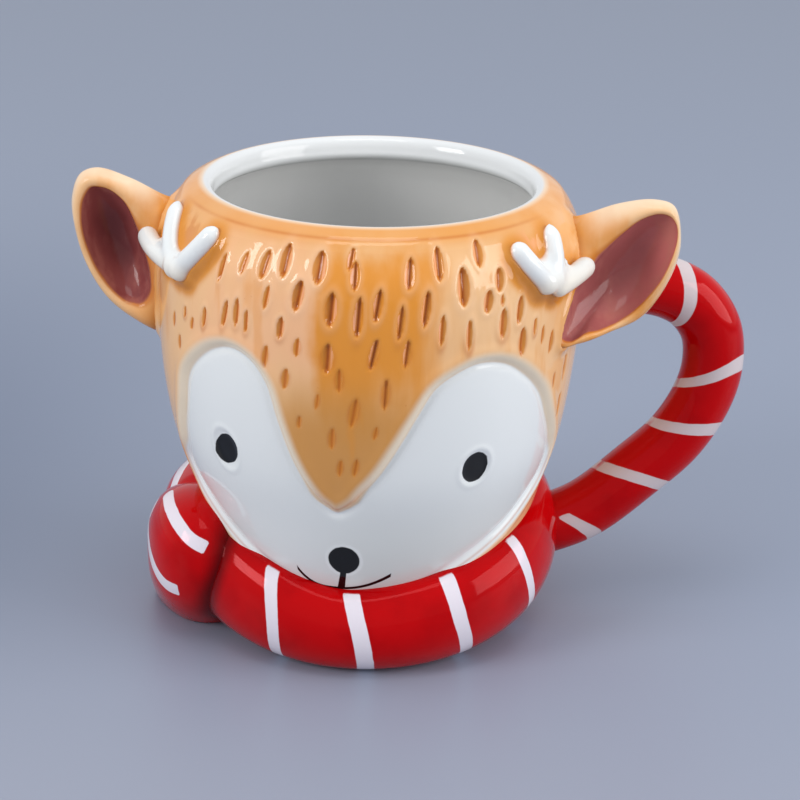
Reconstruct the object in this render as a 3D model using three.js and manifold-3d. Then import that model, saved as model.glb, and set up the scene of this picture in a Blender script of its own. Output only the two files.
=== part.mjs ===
// Glazed ceramic mug in the form of a fawn's head: a hollow head vessel, two cupped ears,
// two three-pronged antlers, a scarf round the neck with one loose end, and a looped handle.
// Millimetres, +Z up. The origin is the middle of the flat base, and the face looks along -Y.
// The viewer's left is -X, and the handle is on the +X side.

import * as THREE from 'three';
import { mergeVertices } from 'three/addons/utils/BufferGeometryUtils.js';
import Module from 'manifold-3d';

const wasm = await Module();
wasm.setup();

// Driving dimensions of the vessel
const HEIGHT = 108;
const BASE_RADIUS = 27;
const BASE_EDGE = 1.2;
const HEEL_RADIUS = 32.5;
const HEEL_HEIGHT = 9;
const NECK_RADIUS = 37;
const NECK_HEIGHT = 20;
const JAW_RADIUS = 42;
const JAW_HEIGHT = 36;
const CHEEK_RADIUS = 46.7;
const CHEEK_HEIGHT = 52;
const HEAD_RADIUS = 49.4;
const HEAD_DROP = 31;
const BROW_RADIUS = 48.4;
const BROW_DROP = 11.5;
const SHOULDER_RADIUS = 45.2;
const SHOULDER_DROP = 4;
const RIM_ROUND_REACH = 4.2;
const RIM_ROUND_DROP = 0.7;
const CHEEK_FULLNESS = 0.7;
const CHEEK_FULLNESS_HEIGHT = 60;
const CHEEK_FULLNESS_REACH = 26;

// Mouth of the cup
const MOUTH_RADIUS = 37.2;
const RIM_CREST_RADIUS = 39;
const LIP_DEPTH = 4.4;
const LIP_ROLL = 1.2;
const WALL = 4.6;
const FLOOR = 7;
const FLOOR_FILLET = 9;

// Face panel, pressed in below the fur, measured from the rim down or the collar up
const FACE_RECESS = 1.0;
const FACE_BEVEL = 2.4;
const LOBE_DROP = 26.1;
const CHIN_HEIGHT = 19;

// Scarf loop round the neck: low in front, higher at the sides
const SCARF_FRONT_TOP = 20.5;
const SCARF_LEFT_TOP = 34.4;
const SCARF_RIGHT_TOP = 34.5;
const SCARF_BACK_TOP = 36;
const SCARF_FRONT_FOOT = 34.6;
const SCARF_SIDE_FOOT = 29;
const SCARF_FRONT_RADIUS = 43;
const SCARF_SIDE_RADIUS = 46.1;
const SCARF_FRONT_WAIST = 10.5;
const SCARF_SIDE_WAIST = 19.5;
const SCARF_SIDE_ANGLE = 95;
const SCARF_RIGHT_RISE = 1.35;
const SCARF_LEFT_ANGLE = 80;
const SCARF_FOLD_ANGLE = -93;
const SCARF_FOLD_REACH = 26;
const SCARF_FOLD_BULGE = 5.2;
const SCARF_FOLD_LIFT = 2;
const SCARF_SEAT_DEPTH = 1.5;
const SCARF_CORE_RADIUS = 25;

// Loose end of the scarf, a pillow that hangs to the table at the left
const END_ANGLE = -73;
const END_WIDTH = 43;
const END_HEIGHT = 34;
const END_THICKNESS = 9;
const END_SEAT_RADIUS = JAW_RADIUS + 3;
const END_SEAT_DEPTH = 4.5;
const END_BACK_DEPTH = 9;
const END_FOOT_SPREAD = 13;
const END_LEAN = 0.3;
const END_SLANT = 0.6;
const END_TUCK = 3.2;
const END_TOP_SQUARENESS = 2.1;
const END_FOOT_SQUARENESS = 2.9;

// Ears
const EAR_FRONT = 6;
const EAR_ROOT_RADIUS = HEAD_RADIUS - 6.4;
const EAR_TOP_RISE = 0.8;
const LEFT_EAR_SPAN = 26.8;
const LEFT_EAR_HEIGHT = 40;
const RIGHT_EAR_SPAN = 27.8;
const RIGHT_EAR_HEIGHT = 37;
const LEFT_EAR_WRAP = 2;
const RIGHT_EAR_WRAP = 12;
const EAR_DEPTH = 8.6;
const EAR_CUP_DEPTH = 5;
const EAR_LIP = 1.6;
const EAR_RIM = 2.2;

// Antlers
const LEFT_ANTLER_ANGLE = -53.5;
const RIGHT_ANTLER_ANGLE = 60.5;
const ANTLER_DROP = 13.5;
const ANTLER_RISE = 10;
const ANTLER_WIDTH = 4.2;
const ANTLER_PALM_WIDTH = 7.2;
const ANTLER_PALM_RISE = 2.4;
const ANTLER_PALM_DROP = 4;
const ANTLER_STANDOFF = 0.7;
const ANTLER_TIP_LIFT = 2;

// Handle
const HANDLE_ANGLE = 103;
const HANDLE_WIDTH = 14.8;
const HANDLE_ROOT_RADIUS = 41;
const HANDLE_REACH = 83.2;
const HANDLE_TOP_DROP = 26;
const HANDLE_FOOT_HEIGHT = 18;

// Clearance between pieces that touch
const GAP = 0.32;

const DEG = Math.PI / 180;

const smooth = (t) => {
  const x = Math.min(1, Math.max(0, t));
  return x * x * (3 - 2 * x);
};

const mix = (a, b, t) => a + (b - a) * t;

// A function of height made from a smooth curve through (radius, height) stations
function radiusByHeight(stations) {
  const curve = new THREE.SplineCurve(stations.map(([r, z]) => new THREE.Vector2(r, z)));
  const points = curve.getPoints(240);
  return (z) => {
    if (z <= points[0].y) return points[0].x;
    for (let i = 1; i < points.length; i += 1) {
      const a = points[i - 1];
      const b = points[i];
      if (z <= b.y) return mix(a.x, b.x, (z - a.y) / Math.max(b.y - a.y, 1e-6));
    }
    return points[points.length - 1].x;
  };
}

const sideRadius = radiusByHeight([
  [BASE_RADIUS + BASE_EDGE, BASE_EDGE],
  [HEEL_RADIUS, HEEL_HEIGHT],
  [NECK_RADIUS, NECK_HEIGHT],
  [JAW_RADIUS, JAW_HEIGHT],
  [CHEEK_RADIUS, CHEEK_HEIGHT],
  [HEAD_RADIUS, HEIGHT - HEAD_DROP],
  [BROW_RADIUS, HEIGHT - BROW_DROP],
  [SHOULDER_RADIUS, HEIGHT - SHOULDER_DROP],
  [SHOULDER_RADIUS - RIM_ROUND_REACH * 0.4, HEIGHT - RIM_ROUND_DROP * 2.7],
  [SHOULDER_RADIUS - RIM_ROUND_REACH, HEIGHT - RIM_ROUND_DROP],
]);

// The face outline, in millimetres along the surface (s) and up (z)
const FACE_SCALE = ((CHEEK_RADIUS + HEAD_RADIUS) / 2) * DEG;
const arcLength = (degrees) => degrees * FACE_SCALE;

// Height of the scarf's upper edge round the neck, theta in degrees from the face
function scarfTop(theta) {
  const turn = Math.abs(theta);
  const soft = (angle) => Math.hypot(angle, 10) - 10;
  const leftShare = Math.min(1, soft(turn) / soft(SCARF_LEFT_ANGLE));
  const rightShare = Math.min(1, turn / SCARF_SIDE_ANGLE) ** SCARF_RIGHT_RISE;
  const behind = smooth((turn - SCARF_SIDE_ANGLE) / (180 - SCARF_SIDE_ANGLE));
  const left = mix(SCARF_FRONT_TOP, SCARF_LEFT_TOP, leftShare);
  const right = mix(SCARF_FRONT_TOP, SCARF_RIGHT_TOP, rightShare);
  return mix(theta < 0 ? left : right, SCARF_BACK_TOP, behind);
}

// Halves of the face outline from the peak between the lobes to the chin:
// degrees from the middle of the face, and share of the height from chin to lobe top
const FACE_PEAK = [-1, 0.408];
const LEFT_FACE_EDGE = [
  [-7, 0.469], [-11.5, 0.588], [-15, 0.731], [-18.5, 0.882], [-24.5, 0.973], [-31.5, 1], [-38.5, 0.975],
  [-46, 0.906], [-52.5, 0.811], [-56.5, 0.676], [-62, 0.509], [-67, 0.39], [-64.5, 0.3], [-54, 0.21],
  [-42, 0.12], [-28, 0.035], [-12, -0.035],
];
const RIGHT_FACE_EDGE = [
  [5.5, 0.437], [11, 0.555], [15, 0.676], [18.8, 0.795], [23, 0.895], [29.5, 0.955], [37, 0.981],
  [46, 0.957], [55.6, 0.873], [63, 0.779], [69, 0.668], [75.5, 0.556], [80, 0.453], [78.5, 0.342],
  [70, 0.265], [58, 0.175], [42, 0.085], [25, 0], [12, -0.035],
];
const FACE_CHIN = [0, -0.05];

function faceEdge(knots, count) {
  const high = HEIGHT - LOBE_DROP;
  const at = ([theta, share]) => new THREE.Vector3(arcLength(theta), mix(CHIN_HEIGHT, high, share), 0);
  const curve = new THREE.CatmullRomCurve3(knots.map(at), false, 'centripetal');
  return curve.getSpacedPoints(count).map((p) => new THREE.Vector2(p.x, p.y));
}

function faceOutline() {
  const right = faceEdge([FACE_PEAK, ...RIGHT_FACE_EDGE, FACE_CHIN], 48);
  const left = faceEdge([FACE_PEAK, ...LEFT_FACE_EDGE, FACE_CHIN], 46);
  return right.concat(left.slice(1, -1).reverse());
}

const FACE_OUTLINE = faceOutline();

// The face outline moved inward by a distance, each point along its own normal
function insetOutline(distance) {
  const count = FACE_OUTLINE.length;
  return FACE_OUTLINE.map((p, i) => {
    const before = FACE_OUTLINE[(i + count - 1) % count];
    const after = FACE_OUTLINE[(i + 1) % count];
    const inIn = new THREE.Vector2(p.y - before.y, before.x - p.x).normalize();
    const inOut = new THREE.Vector2(after.y - p.y, p.x - after.x).normalize();
    const normal = inIn.add(inOut).normalize();
    return new THREE.Vector2(p.x + normal.x * distance, p.y + normal.y * distance);
  });
}

// Outer surface of the head, theta in degrees from the face, positive to the viewer's right
function headRadius(theta, z) {
  const reach = (z - CHEEK_FULLNESS_HEIGHT) / CHEEK_FULLNESS_REACH;
  return sideRadius(z) - CHEEK_FULLNESS * Math.exp(-reach * reach) * Math.sin(theta * DEG);
}

const onRound = (theta, radius, z) =>
  new THREE.Vector3(radius * Math.sin(theta * DEG), -radius * Math.cos(theta * DEG), z);

// Closed surface through rings of points. Rings have equal counts, or one has half of the next.
// A first or last ring with one point closes the surface there. A closed loft joins its ends.
function loft(rings, closedLoop = false) {
  const positions = [];
  const starts = [];
  for (const ring of rings) {
    starts.push(positions.length / 3);
    for (const p of ring) positions.push(p.x, p.y, p.z);
  }
  const index = [];
  const joins = closedLoop ? rings.length : rings.length - 1;
  for (let i = 0; i < joins; i += 1) {
    const next = (i + 1) % rings.length;
    stitch(index, starts[i], rings[i].length, starts[next], rings[next].length);
  }
  const geometry = new THREE.BufferGeometry();
  geometry.setAttribute('position', new THREE.Float32BufferAttribute(positions, 3));
  geometry.setIndex(index);
  return geometry;
}

function stitch(index, a, countA, b, countB) {
  const steps = Math.max(countA, countB);
  for (let k = 0; k < steps; k += 1) {
    const a0 = a + (Math.floor((k * countA) / steps) % countA);
    const a1 = a + (Math.floor(((k + 1) * countA) / steps) % countA);
    const b0 = b + (Math.floor((k * countB) / steps) % countB);
    const b1 = b + (Math.floor(((k + 1) * countB) / steps) % countB);
    if (a0 !== a1) index.push(a0, a1, b1);
    if (b0 !== b1) index.push(a0, b1, b0);
  }
}

function solidOf(geometry) {
  let shape = geometry;
  if (shape.attributes.normal || shape.attributes.uv) {
    shape = geometry.clone();
    shape.deleteAttribute('normal');
    shape.deleteAttribute('uv');
    shape = mergeVertices(shape, 1e-4);
  }
  const mesh = new wasm.Mesh({
    numProp: 3,
    vertProperties: new Float32Array(shape.attributes.position.array),
    triVerts: new Uint32Array(shape.index.array),
  });
  return new wasm.Manifold(mesh);
}

function geometryOf(solid) {
  const mesh = solid.getMesh();
  const geometry = new THREE.BufferGeometry();
  geometry.setAttribute('position', new THREE.BufferAttribute(new Float32Array(mesh.vertProperties), 3));
  geometry.setIndex(new THREE.BufferAttribute(new Uint32Array(mesh.triVerts), 1));
  geometry.computeVertexNormals();
  return geometry;
}

const roundAngles = (count) => Array.from({ length: count }, (_, k) => -180 + (360 * k) / count);

const plainRing = (radius, z, count) => roundAngles(count).map((theta) => onRound(theta, radius, z));

const HEAD_STEPS = 64;
const CAVITY_STEPS = 32;

function headHeights() {
  const heights = [BASE_EDGE, HEEL_HEIGHT, NECK_HEIGHT];
  const low = NECK_HEIGHT;
  const high = HEIGHT - BROW_DROP;
  for (let k = 1; k <= 12; k += 1) heights.push(mix(low, high, k / 12));
  for (const share of [2, 1.4, 1, 0.7, 0.475, 0.3, 0.175]) heights.push(HEIGHT - SHOULDER_DROP * share);
  return heights;
}

// Everything inside the head's outer surface, moved outward by a clearance
function headFill(grow) {
  const rings = [[new THREE.Vector3(0, 0, -grow)]];
  rings.push(plainRing(BASE_RADIUS + grow, -grow, HEAD_STEPS));
  for (const z of headHeights()) {
    const out = (theta) => onRound(theta, headRadius(theta, z) + grow, z + grow * 0.1);
    rings.push(roundAngles(HEAD_STEPS).map(out));
  }
  rings.push(plainRing(RIM_CREST_RADIUS, HEIGHT + grow, HEAD_STEPS));
  rings.push([new THREE.Vector3(0, 0, HEIGHT + grow)]);
  return solidOf(loft(rings));
}

// Wedge through the face outline whose sides lean in by the bevel as it goes below the surface
function faceWedge(grow) {
  const spare = 0.6;
  const slope = FACE_RECESS / FACE_BEVEL;
  const onFace = (inset, radiusAt) => insetOutline(inset).map((p) => {
    const theta = p.x / FACE_SCALE;
    return onRound(theta, radiusAt(theta, p.y), p.y);
  });
  const inner = FACE_BEVEL + spare + grow;
  const outer = grow - spare;
  const rings = [
    onFace(outer, (theta, z) => headRadius(theta, z) + HEAD_RADIUS),
    onFace(outer, (theta, z) => headRadius(theta, z) + grow + spare * slope),
    onFace(inner, (theta, z) => headRadius(theta, z) + grow - FACE_RECESS - spare * slope),
    onFace(inner, (theta, z) => headRadius(theta, z) / 4),
  ];
  return solidOf(cappedLoft(rings, insetOutline(outer), insetOutline(inner)));
}

// Loft whose ends are filled flat in the outline's own plane
function cappedLoft(rings, firstOutline, lastOutline) {
  const geometry = loft(rings);
  const index = Array.from(geometry.index.array);
  const lastStart = (rings.length - 1) * rings[0].length;
  for (const [a, b, c] of THREE.ShapeUtils.triangulateShape(firstOutline, [])) index.push(a, b, c);
  for (const [a, b, c] of THREE.ShapeUtils.triangulateShape(lastOutline, [])) {
    index.push(lastStart + a, lastStart + c, lastStart + b);
  }
  geometry.setIndex(index);
  return geometry;
}

// The head with its face pressed in, still solid inside
function carvedHead(grow) {
  const floorOfFace = headFill(grow - FACE_RECESS);
  return headFill(grow).subtract(faceWedge(grow).subtract(floorOfFace));
}

function cavity() {
  const inner = radiusByHeight([
    [HEEL_RADIUS - WALL - FLOOR_FILLET / 3, FLOOR + FLOOR_FILLET * 0.35],
    [NECK_RADIUS - WALL, NECK_HEIGHT],
    [JAW_RADIUS - WALL, JAW_HEIGHT],
    [CHEEK_RADIUS - WALL, CHEEK_HEIGHT],
    [HEAD_RADIUS - WALL, HEIGHT - HEAD_DROP],
    [MOUTH_RADIUS + LIP_DEPTH * 0.9, HEIGHT - BROW_DROP],
    [MOUTH_RADIUS + LIP_ROLL * 0.6, HEIGHT - LIP_DEPTH - LIP_ROLL],
  ]);
  const rings = [[new THREE.Vector3(0, 0, FLOOR)]];
  rings.push(plainRing(HEEL_RADIUS - WALL - FLOOR_FILLET, FLOOR, CAVITY_STEPS));
  rings.push(plainRing(HEEL_RADIUS - WALL - FLOOR_FILLET * 0.6, FLOOR + FLOOR_FILLET * 0.1, CAVITY_STEPS));
  const steps = 11;
  for (let k = 0; k <= steps; k += 1) {
    const z = mix(FLOOR + FLOOR_FILLET * 0.35, HEIGHT - LIP_DEPTH - LIP_ROLL, k / steps);
    rings.push(plainRing(inner(z), z, CAVITY_STEPS));
  }
  const lip = [
    [MOUTH_RADIUS - LIP_ROLL / 2, LIP_DEPTH],
    [MOUTH_RADIUS - LIP_ROLL / 3, LIP_ROLL * 2],
    [MOUTH_RADIUS, LIP_ROLL],
    [mix(MOUTH_RADIUS, RIM_CREST_RADIUS, 0.4), LIP_ROLL * 0.3],
    [RIM_CREST_RADIUS, 0],
    [RIM_CREST_RADIUS, -LIP_ROLL * 2],
  ];
  for (const [radius, drop] of lip) rings.push(plainRing(radius, HEIGHT - drop, HEAD_STEPS));
  rings.push([new THREE.Vector3(0, 0, HEIGHT + LIP_ROLL * 2)]);
  return solidOf(loft(rings));
}

// How far the fold at the left pushes the scarf out, from 0 to 1
function foldShare(theta) {
  const away = (theta - SCARF_FOLD_ANGLE) / SCARF_FOLD_REACH;
  return Math.exp(-away * away);
}

// Section of the scarf at an angle: flat foot, bulging side and rolled top
function scarfSection(theta, grow) {
  const top = scarfTop(theta);
  const behind = smooth(Math.abs(theta) / SCARF_SIDE_ANGLE);
  const foot = mix(SCARF_FRONT_FOOT, SCARF_SIDE_FOOT, behind);
  const bulge = mix(SCARF_FRONT_RADIUS, SCARF_SIDE_RADIUS, behind) + SCARF_FOLD_BULGE * foldShare(theta);
  const waist = mix(SCARF_FRONT_WAIST, SCARF_SIDE_WAIST, behind) + SCARF_FOLD_LIFT * foldShare(theta);
  const topRadius = sideRadius(top) - SCARF_SEAT_DEPTH;
  const points = [[SCARF_CORE_RADIUS, -grow]];
  for (let k = 0; k <= 5; k += 1) {
    const turn = (Math.PI / 2) * (k / 5);
    const r = mix(foot, bulge, Math.sin(turn));
    points.push([r + grow, waist * (1 - Math.cos(turn)) - grow * Math.cos(turn)]);
  }
  for (let k = 1; k <= 6; k += 1) {
    const turn = (Math.PI / 2) * (k / 6);
    const r = mix(topRadius, bulge, Math.cos(turn));
    points.push([r + grow, mix(waist, top, Math.sin(turn)) + grow * Math.sin(turn)]);
  }
  points.push([SCARF_CORE_RADIUS, top + grow]);
  return points;
}

function scarfRing(grow) {
  const steps = 60;
  const rings = [];
  for (let k = 0; k < steps; k += 1) {
    const theta = -180 + (360 * k) / steps;
    rings.push(scarfSection(theta, grow).map(([r, z]) => onRound(theta, r, z)).reverse());
  }
  return solidOf(loft(rings, true));
}

// A pillow wrapped round the neck: width and height of a rounded outline, domed outward
function scarfEndSolid(grow) {
  const halfWidth = END_WIDTH / 2 + grow;
  const halfHeight = END_HEIGHT / 2 + grow;
  const thickness = END_THICKNESS + grow;
  const middle = END_HEIGHT / 2;
  const around = 32;
  const outlinePoint = (turn, scale, depth) => {
    const c = Math.cos(turn);
    const s = Math.sin(turn);
    const power = 2 / (s < 0 ? END_FOOT_SQUARENESS : END_TOP_SQUARENESS);
    const t = halfWidth * scale * Math.sign(c) * Math.abs(c) ** power;
    const reach = s < 0 ? halfHeight + END_FOOT_SPREAD : halfHeight;
    const rise = reach * scale * Math.sign(s) * Math.abs(s) ** power;
    const theta = END_ANGLE + (t + END_LEAN * rise) / (END_SEAT_RADIUS * DEG);
    const z = Math.max(-grow, middle + rise + END_SLANT * t * Math.max(0, -s));
    const tuck = END_TUCK * smooth(0.5 + t / halfWidth) * Math.max(0, 1 - z / middle) ** 2;
    return onRound(theta, END_SEAT_RADIUS + depth - tuck, z);
  };
  const ring = (scale, depth) =>
    Array.from({ length: around }, (_, k) => outlinePoint((2 * Math.PI * k) / around, scale, depth));
  const rings = [[outlinePoint(0, 0, -END_BACK_DEPTH)]];
  rings.push(ring(0.95, -END_BACK_DEPTH));
  for (let k = 0; k <= 7; k += 1) {
    const turn = (Math.PI / 2) * (k / 8);
    const share = Math.sin(turn) ** 0.9;
    rings.push(ring(Math.cos(turn) ** 0.7, mix(-END_SEAT_DEPTH, thickness, share)));
  }
  rings.push([outlinePoint(0, 0, thickness)]);
  return solidOf(loft(rings));
}

// Outline of an ear seen from the front, as shares of its span and height from the lower root
const LEFT_EAR_SHAPE = [
  [0, 0.84], [0.15, 0.85], [0.48, 0.948], [0.77, 1.0], [0.92, 0.958], [1.0, 0.82], [0.985, 0.64],
  [0.9, 0.43], [0.71, 0.214], [0.47, 0.09], [0.22, 0.015], [0, 0.02],
];
const RIGHT_EAR_SHAPE = [
  [0, 0.84], [0.15, 0.85], [0.49, 0.945], [0.77, 0.98], [0.93, 0.945], [1.0, 0.75], [0.98, 0.59],
  [0.86, 0.366], [0.71, 0.215], [0.47, 0.112], [0.23, 0.024], [0, 0],
];

function earSolid(side, grow) {
  const isLeft = side < 0;
  const span = isLeft ? LEFT_EAR_SPAN : RIGHT_EAR_SPAN;
  const height = isLeft ? LEFT_EAR_HEIGHT : RIGHT_EAR_HEIGHT;
  const low = HEIGHT + EAR_TOP_RISE - height;
  const shape = isLeft ? LEFT_EAR_SHAPE : RIGHT_EAR_SHAPE;
  const knots = shape.map(([u, v]) => new THREE.Vector3(EAR_ROOT_RADIUS + span * u, low + height * v, 0));
  const outline = new THREE.CatmullRomCurve3(knots, true, 'centripetal').getSpacedPoints(34).slice(0, 34);
  const middle = new THREE.Vector2(EAR_ROOT_RADIUS + span * 0.58, low + height * 0.56);
  const wrapAt = (x, z) => {
    const nearRoot = smooth(1 - (x - EAR_ROOT_RADIUS) / (span * 0.8));
    const nearLow = smooth(1 - (z - low) / (height * 0.85));
    return (isLeft ? LEFT_EAR_WRAP : RIGHT_EAR_WRAP) * nearRoot * nearLow;
  };
  const place = (x, z, forward) => {
    const wrap = wrapAt(x, z);
    return new THREE.Vector3(side * x, -EAR_FRONT - forward - wrap, z + 0.36 * wrap);
  };
  const ring = (inset, forward) => outline.map((p) => {
    const away = new THREE.Vector2(p.x - middle.x, p.y - middle.y);
    const length = away.length();
    away.setLength(Math.max(0.2, length * (1 - inset) + grow));
    return place(middle.x + away.x, middle.y + away.y, forward);
  });
  const point = (forward) => [place(middle.x, middle.y, forward)];
  const rimShare = EAR_RIM / (span / 2);
  const rings = [point(-EAR_DEPTH - grow)];
  for (const [inset, share] of [[0.68, 0.96], [0.4, 0.8], [0.18, 0.52], [0.05, 0.24]]) {
    rings.push(ring(inset, -EAR_DEPTH * share - grow));
  }
  rings.push(ring(0, 0));
  rings.push(ring(0.04, EAR_LIP * 0.8 + grow));
  rings.push(ring(rimShare * 0.75, EAR_LIP + grow));
  for (const [inset, share] of [[rimShare + 0.06, 0.1], [0.34, 0.42], [0.52, 0.72], [0.74, 0.93]]) {
    rings.push(ring(inset, EAR_LIP - (EAR_CUP_DEPTH + EAR_LIP) * share + grow));
  }
  rings.push(point(-EAR_CUP_DEPTH + grow));
  if (side > 0) rings.reverse();
  return solidOf(loft(rings));
}

// One prong: a tapered bar with round ends that follows the head and can lift off it
function prong(side, baseAngle, from, to, bend, radii, lift) {
  const steps = 10;
  const around = 12;
  const centre = (t) => {
    const a = mix(from[0], to[0], t) + bend * Math.sin(Math.PI * t);
    const z = mix(from[1], to[1], t);
    const theta = baseAngle + side * a;
    return onRound(theta, headRadius(theta, z) + ANTLER_STANDOFF + lift * t * t, z);
  };
  const length = centre(0).distanceTo(centre(1));
  const radiusAt = (t) => {
    const toStart = Math.min(1, (t * length) / radii[0]);
    const toEnd = Math.min(1, ((1 - t) * length) / radii[1]);
    return mix(radii[0], radii[1], t) * Math.sqrt(toStart * (2 - toStart) * toEnd * (2 - toEnd));
  };
  const rings = [[centre(0)]];
  for (let k = 1; k < steps; k += 1) {
    const t = (1 - Math.cos((Math.PI * k) / steps)) / 2;
    const here = centre(t);
    const ahead = centre(Math.min(1, t + 0.02)).sub(centre(Math.max(0, t - 0.02))).normalize();
    const outward = new THREE.Vector3(here.x, here.y, 0).normalize();
    const across = new THREE.Vector3().crossVectors(outward, ahead).normalize();
    const up = new THREE.Vector3().crossVectors(ahead, across).normalize();
    const radius = radiusAt(t);
    rings.push(Array.from({ length: around }, (_, j) => {
      const turn = (2 * Math.PI * j) / around;
      const beside = here.clone().addScaledVector(across, radius * Math.cos(turn));
      return beside.addScaledVector(up, radius * Math.sin(turn));
    }));
  }
  rings.push([centre(1)]);
  return solidOf(loft(rings));
}

// Roots and tips of the prongs: degrees outward from the antler's angle, and share of its rise
const LEFT_PRONGS = {
  inner: [[-2, -0.1], [-13.6, 1]],
  middle: [[0, -0.1], [11.6, 1.04]],
  outer: [[1, -0.05], [25, 0.06]],
};
const RIGHT_PRONGS = {
  inner: [[-1.5, -0.2], [-12.6, 0.9]],
  middle: [[0, -0.1], [3.8, 0.98]],
  outer: [[1, -0.2], [24.6, -0.06]],
};

function antlerSolid(side, angle, prongs) {
  const palm = HEIGHT - ANTLER_DROP;
  const wide = ANTLER_WIDTH / 2;
  const broad = ANTLER_PALM_WIDTH / 2;
  const rising = ([turn, share]) => [turn, palm + ANTLER_RISE * share];
  const bar = ([root, tip], bend, lift) => {
    return prong(side, angle, rising(root), rising(tip), bend, [wide * 1.15, wide * 0.92], lift);
  };
  const high = [0, palm + ANTLER_PALM_RISE];
  const low = [0, palm - ANTLER_PALM_DROP];
  return prong(side, angle, high, low, 0, [broad, broad * 0.8], 0)
    .add(bar(prongs.inner, -0.8, 0))
    .add(bar(prongs.middle, 0, 0))
    .add(bar(prongs.outer, -0.5, ANTLER_TIP_LIFT));
}

// Route of the handle: share of the way out from the root to the reach, and share of the way down
const HANDLE_ROUTE = [
  [0, -0.01], [0.33, -0.006], [0.56, 0.003], [0.73, 0.031], [0.863, 0.084], [0.972, 0.188], [1, 0.312],
  [0.962, 0.447], [0.815, 0.622], [0.588, 0.766], [0.313, 0.912], [0.118, 0.97], [-0.095, 1],
];

// Tube of one width along a curve in the handle's own upright plane
function handleSolid() {
  const top = HEIGHT - HANDLE_TOP_DROP;
  const station = ([out, down]) =>
    new THREE.Vector3(mix(HANDLE_ROOT_RADIUS, HANDLE_REACH, out), mix(top, HANDLE_FOOT_HEIGHT, down), 0);
  const path = new THREE.CatmullRomCurve3(HANDLE_ROUTE.map(station));
  const steps = 34;
  const around = 18;
  const half = HANDLE_WIDTH / 2;
  const ringAt = (share) => {
    const centre = path.getPointAt(share);
    const along = path.getTangentAt(share);
    return Array.from({ length: around }, (_, j) => {
      const turn = (2 * Math.PI * j) / around;
      const out = half * Math.cos(turn);
      const middle = onRound(HANDLE_ANGLE, centre.x + along.y * out, centre.y - along.x * out);
      return middle.addScaledVector(onRound(HANDLE_ANGLE + 90, 1, 0), half * Math.sin(turn));
    });
  };
  const end = (share) => {
    const centre = path.getPointAt(share);
    return [onRound(HANDLE_ANGLE, centre.x, centre.y)];
  };
  const rings = [end(0)];
  for (let k = 0; k <= steps; k += 1) rings.push(ringAt(k / steps));
  rings.push(end(1));
  return solidOf(loft(rings));
}

function piece(name, solid, color, roughness) {
  const material = new THREE.MeshStandardMaterial({ color, roughness, metalness: 0, flatShading: true });
  const mesh = new THREE.Mesh(geometryOf(solid), material);
  mesh.name = name;
  return mesh;
}

const FUR = 0xe8b47c;
const WHITE = 0xdfe3e4;
const RED = 0xb3101a;

const head = carvedHead(0).subtract(cavity());
const grownHead = carvedHead(GAP);
const scarfEnd = scarfEndSolid(0).subtract(grownHead);
const scarfLoop = scarfRing(0).subtract(grownHead).subtract(scarfEndSolid(GAP));
const earLeft = earSolid(-1, 0).subtract(grownHead);
const earRight = earSolid(1, 0).subtract(grownHead);
const antlerLeft = antlerSolid(-1, LEFT_ANTLER_ANGLE, LEFT_PRONGS)
  .subtract(grownHead)
  .subtract(earSolid(-1, GAP));
const antlerRight = antlerSolid(1, RIGHT_ANTLER_ANGLE, RIGHT_PRONGS)
  .subtract(grownHead)
  .subtract(earSolid(1, GAP));
const handle = handleSolid().subtract(grownHead).subtract(scarfRing(GAP));

const mug = new THREE.Group();
mug.name = 'fawn_mug';
mug.add(piece('head_cup', head, FUR, 0.25));
mug.add(piece('ear_left', earLeft, FUR, 0.25));
mug.add(piece('ear_right', earRight, FUR, 0.25));
mug.add(piece('antler_left', antlerLeft, WHITE, 0.2));
mug.add(piece('antler_right', antlerRight, WHITE, 0.2));
mug.add(piece('scarf_loop', scarfLoop, RED, 0.2));
mug.add(piece('scarf_end', scarfEnd, RED, 0.2));
mug.add(piece('handle', handle, RED, 0.2));

export default mug;
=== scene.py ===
# Looks of a glazed ceramic mug in the form of a fawn's head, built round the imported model.
# Shapes are worked out in millimetres and written to the meshes in metres. Angles are degrees
# round the cup: 0 is the middle of the face, on -Y, and positive angles turn towards +X.

import math

import bpy
import numpy as np
from mathutils import Matrix, Vector
from mathutils.bvhtree import BVHTree


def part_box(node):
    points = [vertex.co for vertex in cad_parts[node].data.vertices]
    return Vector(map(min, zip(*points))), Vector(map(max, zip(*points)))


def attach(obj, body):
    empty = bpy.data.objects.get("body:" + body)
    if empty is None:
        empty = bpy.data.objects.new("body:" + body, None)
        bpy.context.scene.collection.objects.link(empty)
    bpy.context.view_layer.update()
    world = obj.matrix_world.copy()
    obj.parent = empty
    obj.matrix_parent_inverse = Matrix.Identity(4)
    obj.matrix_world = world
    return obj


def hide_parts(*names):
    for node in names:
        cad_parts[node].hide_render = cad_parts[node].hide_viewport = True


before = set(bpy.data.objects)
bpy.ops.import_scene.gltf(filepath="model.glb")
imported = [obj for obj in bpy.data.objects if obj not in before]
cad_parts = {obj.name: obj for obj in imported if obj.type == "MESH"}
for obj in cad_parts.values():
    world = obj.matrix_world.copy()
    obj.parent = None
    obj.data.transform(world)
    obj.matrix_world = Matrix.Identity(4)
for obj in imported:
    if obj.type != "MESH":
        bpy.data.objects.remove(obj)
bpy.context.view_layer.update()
MM = 0.001

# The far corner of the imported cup's box gives its height and its radius
HEAD_TOP = np.array(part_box("head_cup")[1]) / MM

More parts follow.
